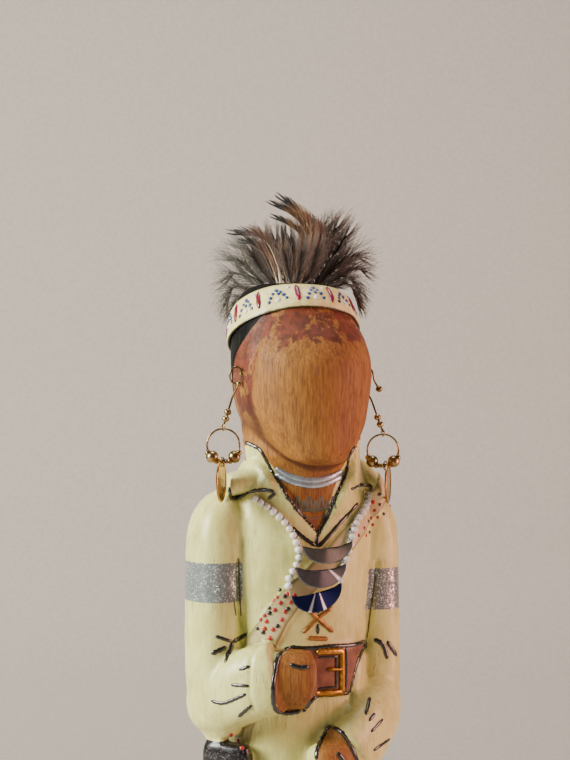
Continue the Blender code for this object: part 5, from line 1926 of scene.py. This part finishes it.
class DollPaint:
    """The brush strokes that stand out from the carving, where the photograph shows them."""

    outline: tuple = (
        ((245, 442), (259, 449), (265, 458), (277, 480), (294, 506), (318, 534)),
        ((355, 446), (349, 456), (346, 474), (338, 491), (327, 518), (318, 535)),
        ((318, 533), (317, 547)),
        ((229, 487), (233, 499), (250, 492), (265, 490), (274, 493), (268, 499)),
        ((291, 526.5), (303, 537), (316, 546)),
        ((358, 503), (341, 522), (325, 540), (318, 547)),
        ((351, 489), (360, 485), (370, 486), (371, 491)),
    )
    cuffs: tuple = (
        ((289, 647), (279, 655), (275, 671), (273, 697), (277, 711), (289, 713), (301, 711)),
        ((316, 760), (318, 747), (327, 729.5), (331, 727), (340, 731), (347, 739.5), (355, 755), (358, 764)),
        ((290, 664), (298, 667), (309, 667)),
        ((337, 752), (341, 757), (345, 762)),
    )
    creases: tuple = (
        ((215, 636), (233, 642)), ((233, 642), (247, 634)), ((233, 642), (225, 663)),
        ((211, 654), (227, 647)), ((239, 670), (250, 666)), ((231, 685), (249, 686)),
        ((211, 701), (224, 703), (246, 694)), ((238, 717), (252, 705)),
        ((374, 639), (383, 645), (387.5, 659)), ((387, 641), (397, 656)), ((370, 697), (366, 715)),
        ((375, 713), (369, 721)), ((383, 719), (371, 732)), ((390, 739), (373.5, 750.5)),
    )
    # Lines of the dark painted-shade strokes in the grooves between the arms and the body.
    grooves: tuple = (
        ((238.7, 558), (239.5, 590), (241, 616.5)), ((234, 600), (236, 616)),
        ((376, 576.5), (371, 607), (367, 638)),
    )
    belt_lines: tuple = (
        ((289, 647), (311, 648), (332, 646), (352, 645), (366.5, 641)),
        ((303, 712), (316, 697), (332, 695), (349, 693)),
    )
    buckle: tuple = ((316, 652), (341.5, 651), (342, 692), (316, 693.5))
    buckle_inside: tuple = ((318, 657.5), (336, 656.5), (336, 687), (318, 688.5))
    lacing: tuple = (((303, 633), (318, 618), (332, 607)), ((333, 632), (318, 619), (309, 611)),
                     ((307, 638), (318, 638.5), (328, 639)))
    bands: tuple = (((275, 468.6), (290, 476), (303, 479.5), (312, 480.5), (326, 478.5), (343, 471)),
                    ((274, 474), (290, 481), (303, 484.5), (312, 485.5), (326, 483.5), (342, 476.5)))

    belt_inset: float = 0.2
    hidden_side: Row = (2.35, 3.98)

    def __init__(self, figure: Surface) -> None:
        """Keep the carved surface."""
        self.figure = figure

    def round_the_body(self, paint: Paint, height: float, first: float, last: float, width: float) -> None:
        """Carry a level stroke round the hidden side, from one angle to another."""
        path = []
        for angle in np.linspace(first, last, 90):
            found = self.figure.around(float(angle), height)
            if found is not None:
                path.append(found)
        paint.ribbon(path, width, 0.0004)

    def build(self) -> None:
        """Lay every colour."""
        black = Paint(self.figure)
        for stroke in self.outline:
            black.seen(stroke, 0.0015, 0.00055)
        for stroke in self.cuffs:
            black.seen(stroke, 0.0017, 0.00055)
        for order, stroke in enumerate(self.creases):
            black.seen(stroke, 0.0013 + 0.0005 * (order in (1, 2, 3, 8, 9)), 0.0004)
        for stroke in self.belt_lines:
            black.seen(stroke, 0.0016, 0.0006)
        black.seen(((366.5, 641), (360, 655), (355, 669), (349, 693)), 0.0022, 0.0006)
        black.seen(((346, 647), (346.5, 670), (345.5, 694)), 0.0009, 0.0003)
        black.seen(self.buckle_inside, 0.0009, 0.0004, smooth=False)
        low, high = Carving().belt_heights
        for height in (low + self.belt_inset, high - self.belt_inset):
            self.round_the_body(black, height, *self.hidden_side, 0.0013)
        black.seen(((318, 609.5), (318, 613.5)), 0.0014, 0.0005)
        black.seen(((318, 624), (318, 634)), 0.0014, 0.0005)
        black.build("black_outlines", Finish("Black enamel", (26, 26, 24), (40, 38, 34), 0.2, coat=0.6,
                                             bump_scale=900.0))
        # Painted shade: thin dark olive strokes along the grooves between the arms and the body, where shadow
        # falls.
        groove_shade = Paint(self.figure)
        for stroke in self.grooves:
            groove_shade.seen(stroke, 0.0006, 0.0001)
        groove_shade.build("groove_shade_strokes", Finish("Groove painted shade", (112, 92, 48), (84, 66, 34), 0.6, bump=0.0))
        gold = Paint(self.figure)
        gold.seen(self.buckle, 0.0025, 0.0011, smooth=False)
        gold.seen(((327, 669), (342, 669)), 0.0016, 0.0014)
        gold.build("belt_buckle", Finish("Gold paint", (196, 146, 66), (150, 102, 40), 0.3, 0.85,
                                         bump_scale=1200.0), "antique_brass")
        lace = Paint(self.figure)
        for stroke in self.lacing:
            lace.seen(stroke, 0.0017, 0.0008)
        lace.build("gold_lacing", Finish("Bronze paint", (170, 118, 58), (124, 82, 38), 0.34, 0.6))
        silver = Paint(self.figure)
        for stroke in self.bands:
            silver.seen(stroke, 0.0021, 0.0006)
        silver.build("silver_neck_bands", Finish("Silver paint", (188, 198, 206), (150, 160, 170), 0.3, 0.7))
        tattoo = Paint(self.figure)
        tattoo.seen([(293, 508.5), (302, 509.5), (312, 510), (322, 509.5), (333, 507)], 0.0016, 0.00012)
        for start in range(294, 331, 6):
            lift_up = 500 - 2 * (start % 4)
            tattoo.seen([(start, 509), (start + 3, lift_up), (start + 6, 509)], 0.0010, 0.00012, smooth=False)
        tattoo.seen([(303, 516), (313, 518.5), (327, 516)], 0.0005, 0.0001)
        tattoo.build("neck_tattoo", Finish("Tattoo paint", (78, 80, 66), (104, 98, 76), 0.5))
        self.strap_beads()

    def strap_beads(self) -> None:
        """Dot the strap with red and black beads, and a few white ones."""
        red, black = Paint(self.figure), Paint(self.figure)
        lines = (((386, 500), (371, 517), (354, 540)), ((378, 495), (363, 512), (349, 530)),
                 ((393, 500), (379, 519), (365, 537)), ((288, 592), (272, 612), (262, 634)),
                 ((281, 590), (266, 610), (259, 628)), ((296, 597), (284, 613), (271, 637)))
        for order, line in enumerate(lines):
            flat = evened([Vector((x, y, 0.0)) for x, y in line], 7.2)
            for index, spot in enumerate(flat):
                px = spot.x + 1.6 * sin(5.3 * index + order)
                py = spot.y + 1.6 * cos(4.1 * index + 2 * order)
                hit, normal = self.figure.seen(px, py)
                size = 0.00062 + 0.00026 * abs(sin(3.1 * index + 1.7 * order))
                (black if (index + order) % 3 == 1 else red).dot(hit, normal, size, 0.00045)
        for spot in ((231, 735), (238, 741), (242, 748)):
            red.dot(*self.figure.seen(*spot), 0.00085, 0.00045)
        red.build("red_strap_beads", Finish("Red enamel", (196, 52, 40), (150, 34, 28), 0.2, coat=0.5,
                                              bump=0.0))
        black.build("black_strap_beads", Finish("Black beads", (30, 28, 26), (44, 40, 36), 0.2, coat=0.5,
                                                bump=0.0))


def main() -> None:
    """Build the pieces and set them in the studio."""
    logging.basicConfig(level=logging.INFO, format="%(name)s %(message)s")
    looks = SharedLooks()
    trees = {"lines": lines_tree(), "beads": beads_tree()}
    figure = CarvedFigure(Carving()).build(DollFinish().make(looks))
    LOG.info("figure %d", len(figure.data.polygons))
    surface = Surface(figure)
    Base().build(WoodFinish().make(looks))
    band = Headband(BandSizes(), surface)
    band.strip(band.leather())
    band.beadwork()
    LOG.info("headband")
    DollPaint(surface).build()
    LOG.info("paint")
    Necklace(surface, trees).build()
    # Painted reflection: the plates' grey and navy base colours are darker than bare steel and stand in for
    # the dark room that the polished plates mirror.
    for plate in (Gorget("gorget_top", tint(122, 124, 118), 3.0, 0.0070),
                  Gorget("gorget_middle", tint(112, 112, 116), 1.0, 0.0078, painted_highlight_rays=(0.85,)),
                  Gorget("gorget_bottom", tint(34, 44, 92), 11.0, 0.0078, sag=0.0012, painted_highlight_rays=(-0.30, 0.36))):
        plate.build()
    LOG.info("necklace and gorgets")
    brass = Finish("Antique brass", (186, 160, 112), (120, 96, 62), 0.24, 1.0, bump=0.0).make()
    gold = Finish("Coin brass", (208, 160, 80), (160, 112, 48), 0.24, 1.0, bump_scale=700.0).make()
    for hand, end in ((-1, "right"), (1, "left")):
        Earring(hand, end, EarringSizes(), surface, trees).build(brass, gold)
    LOG.info("earrings")
    Feathers().build(surface, trees)
    Studio().build()
    VIEW.build_camera()


if __name__ == "__main__":
    main()
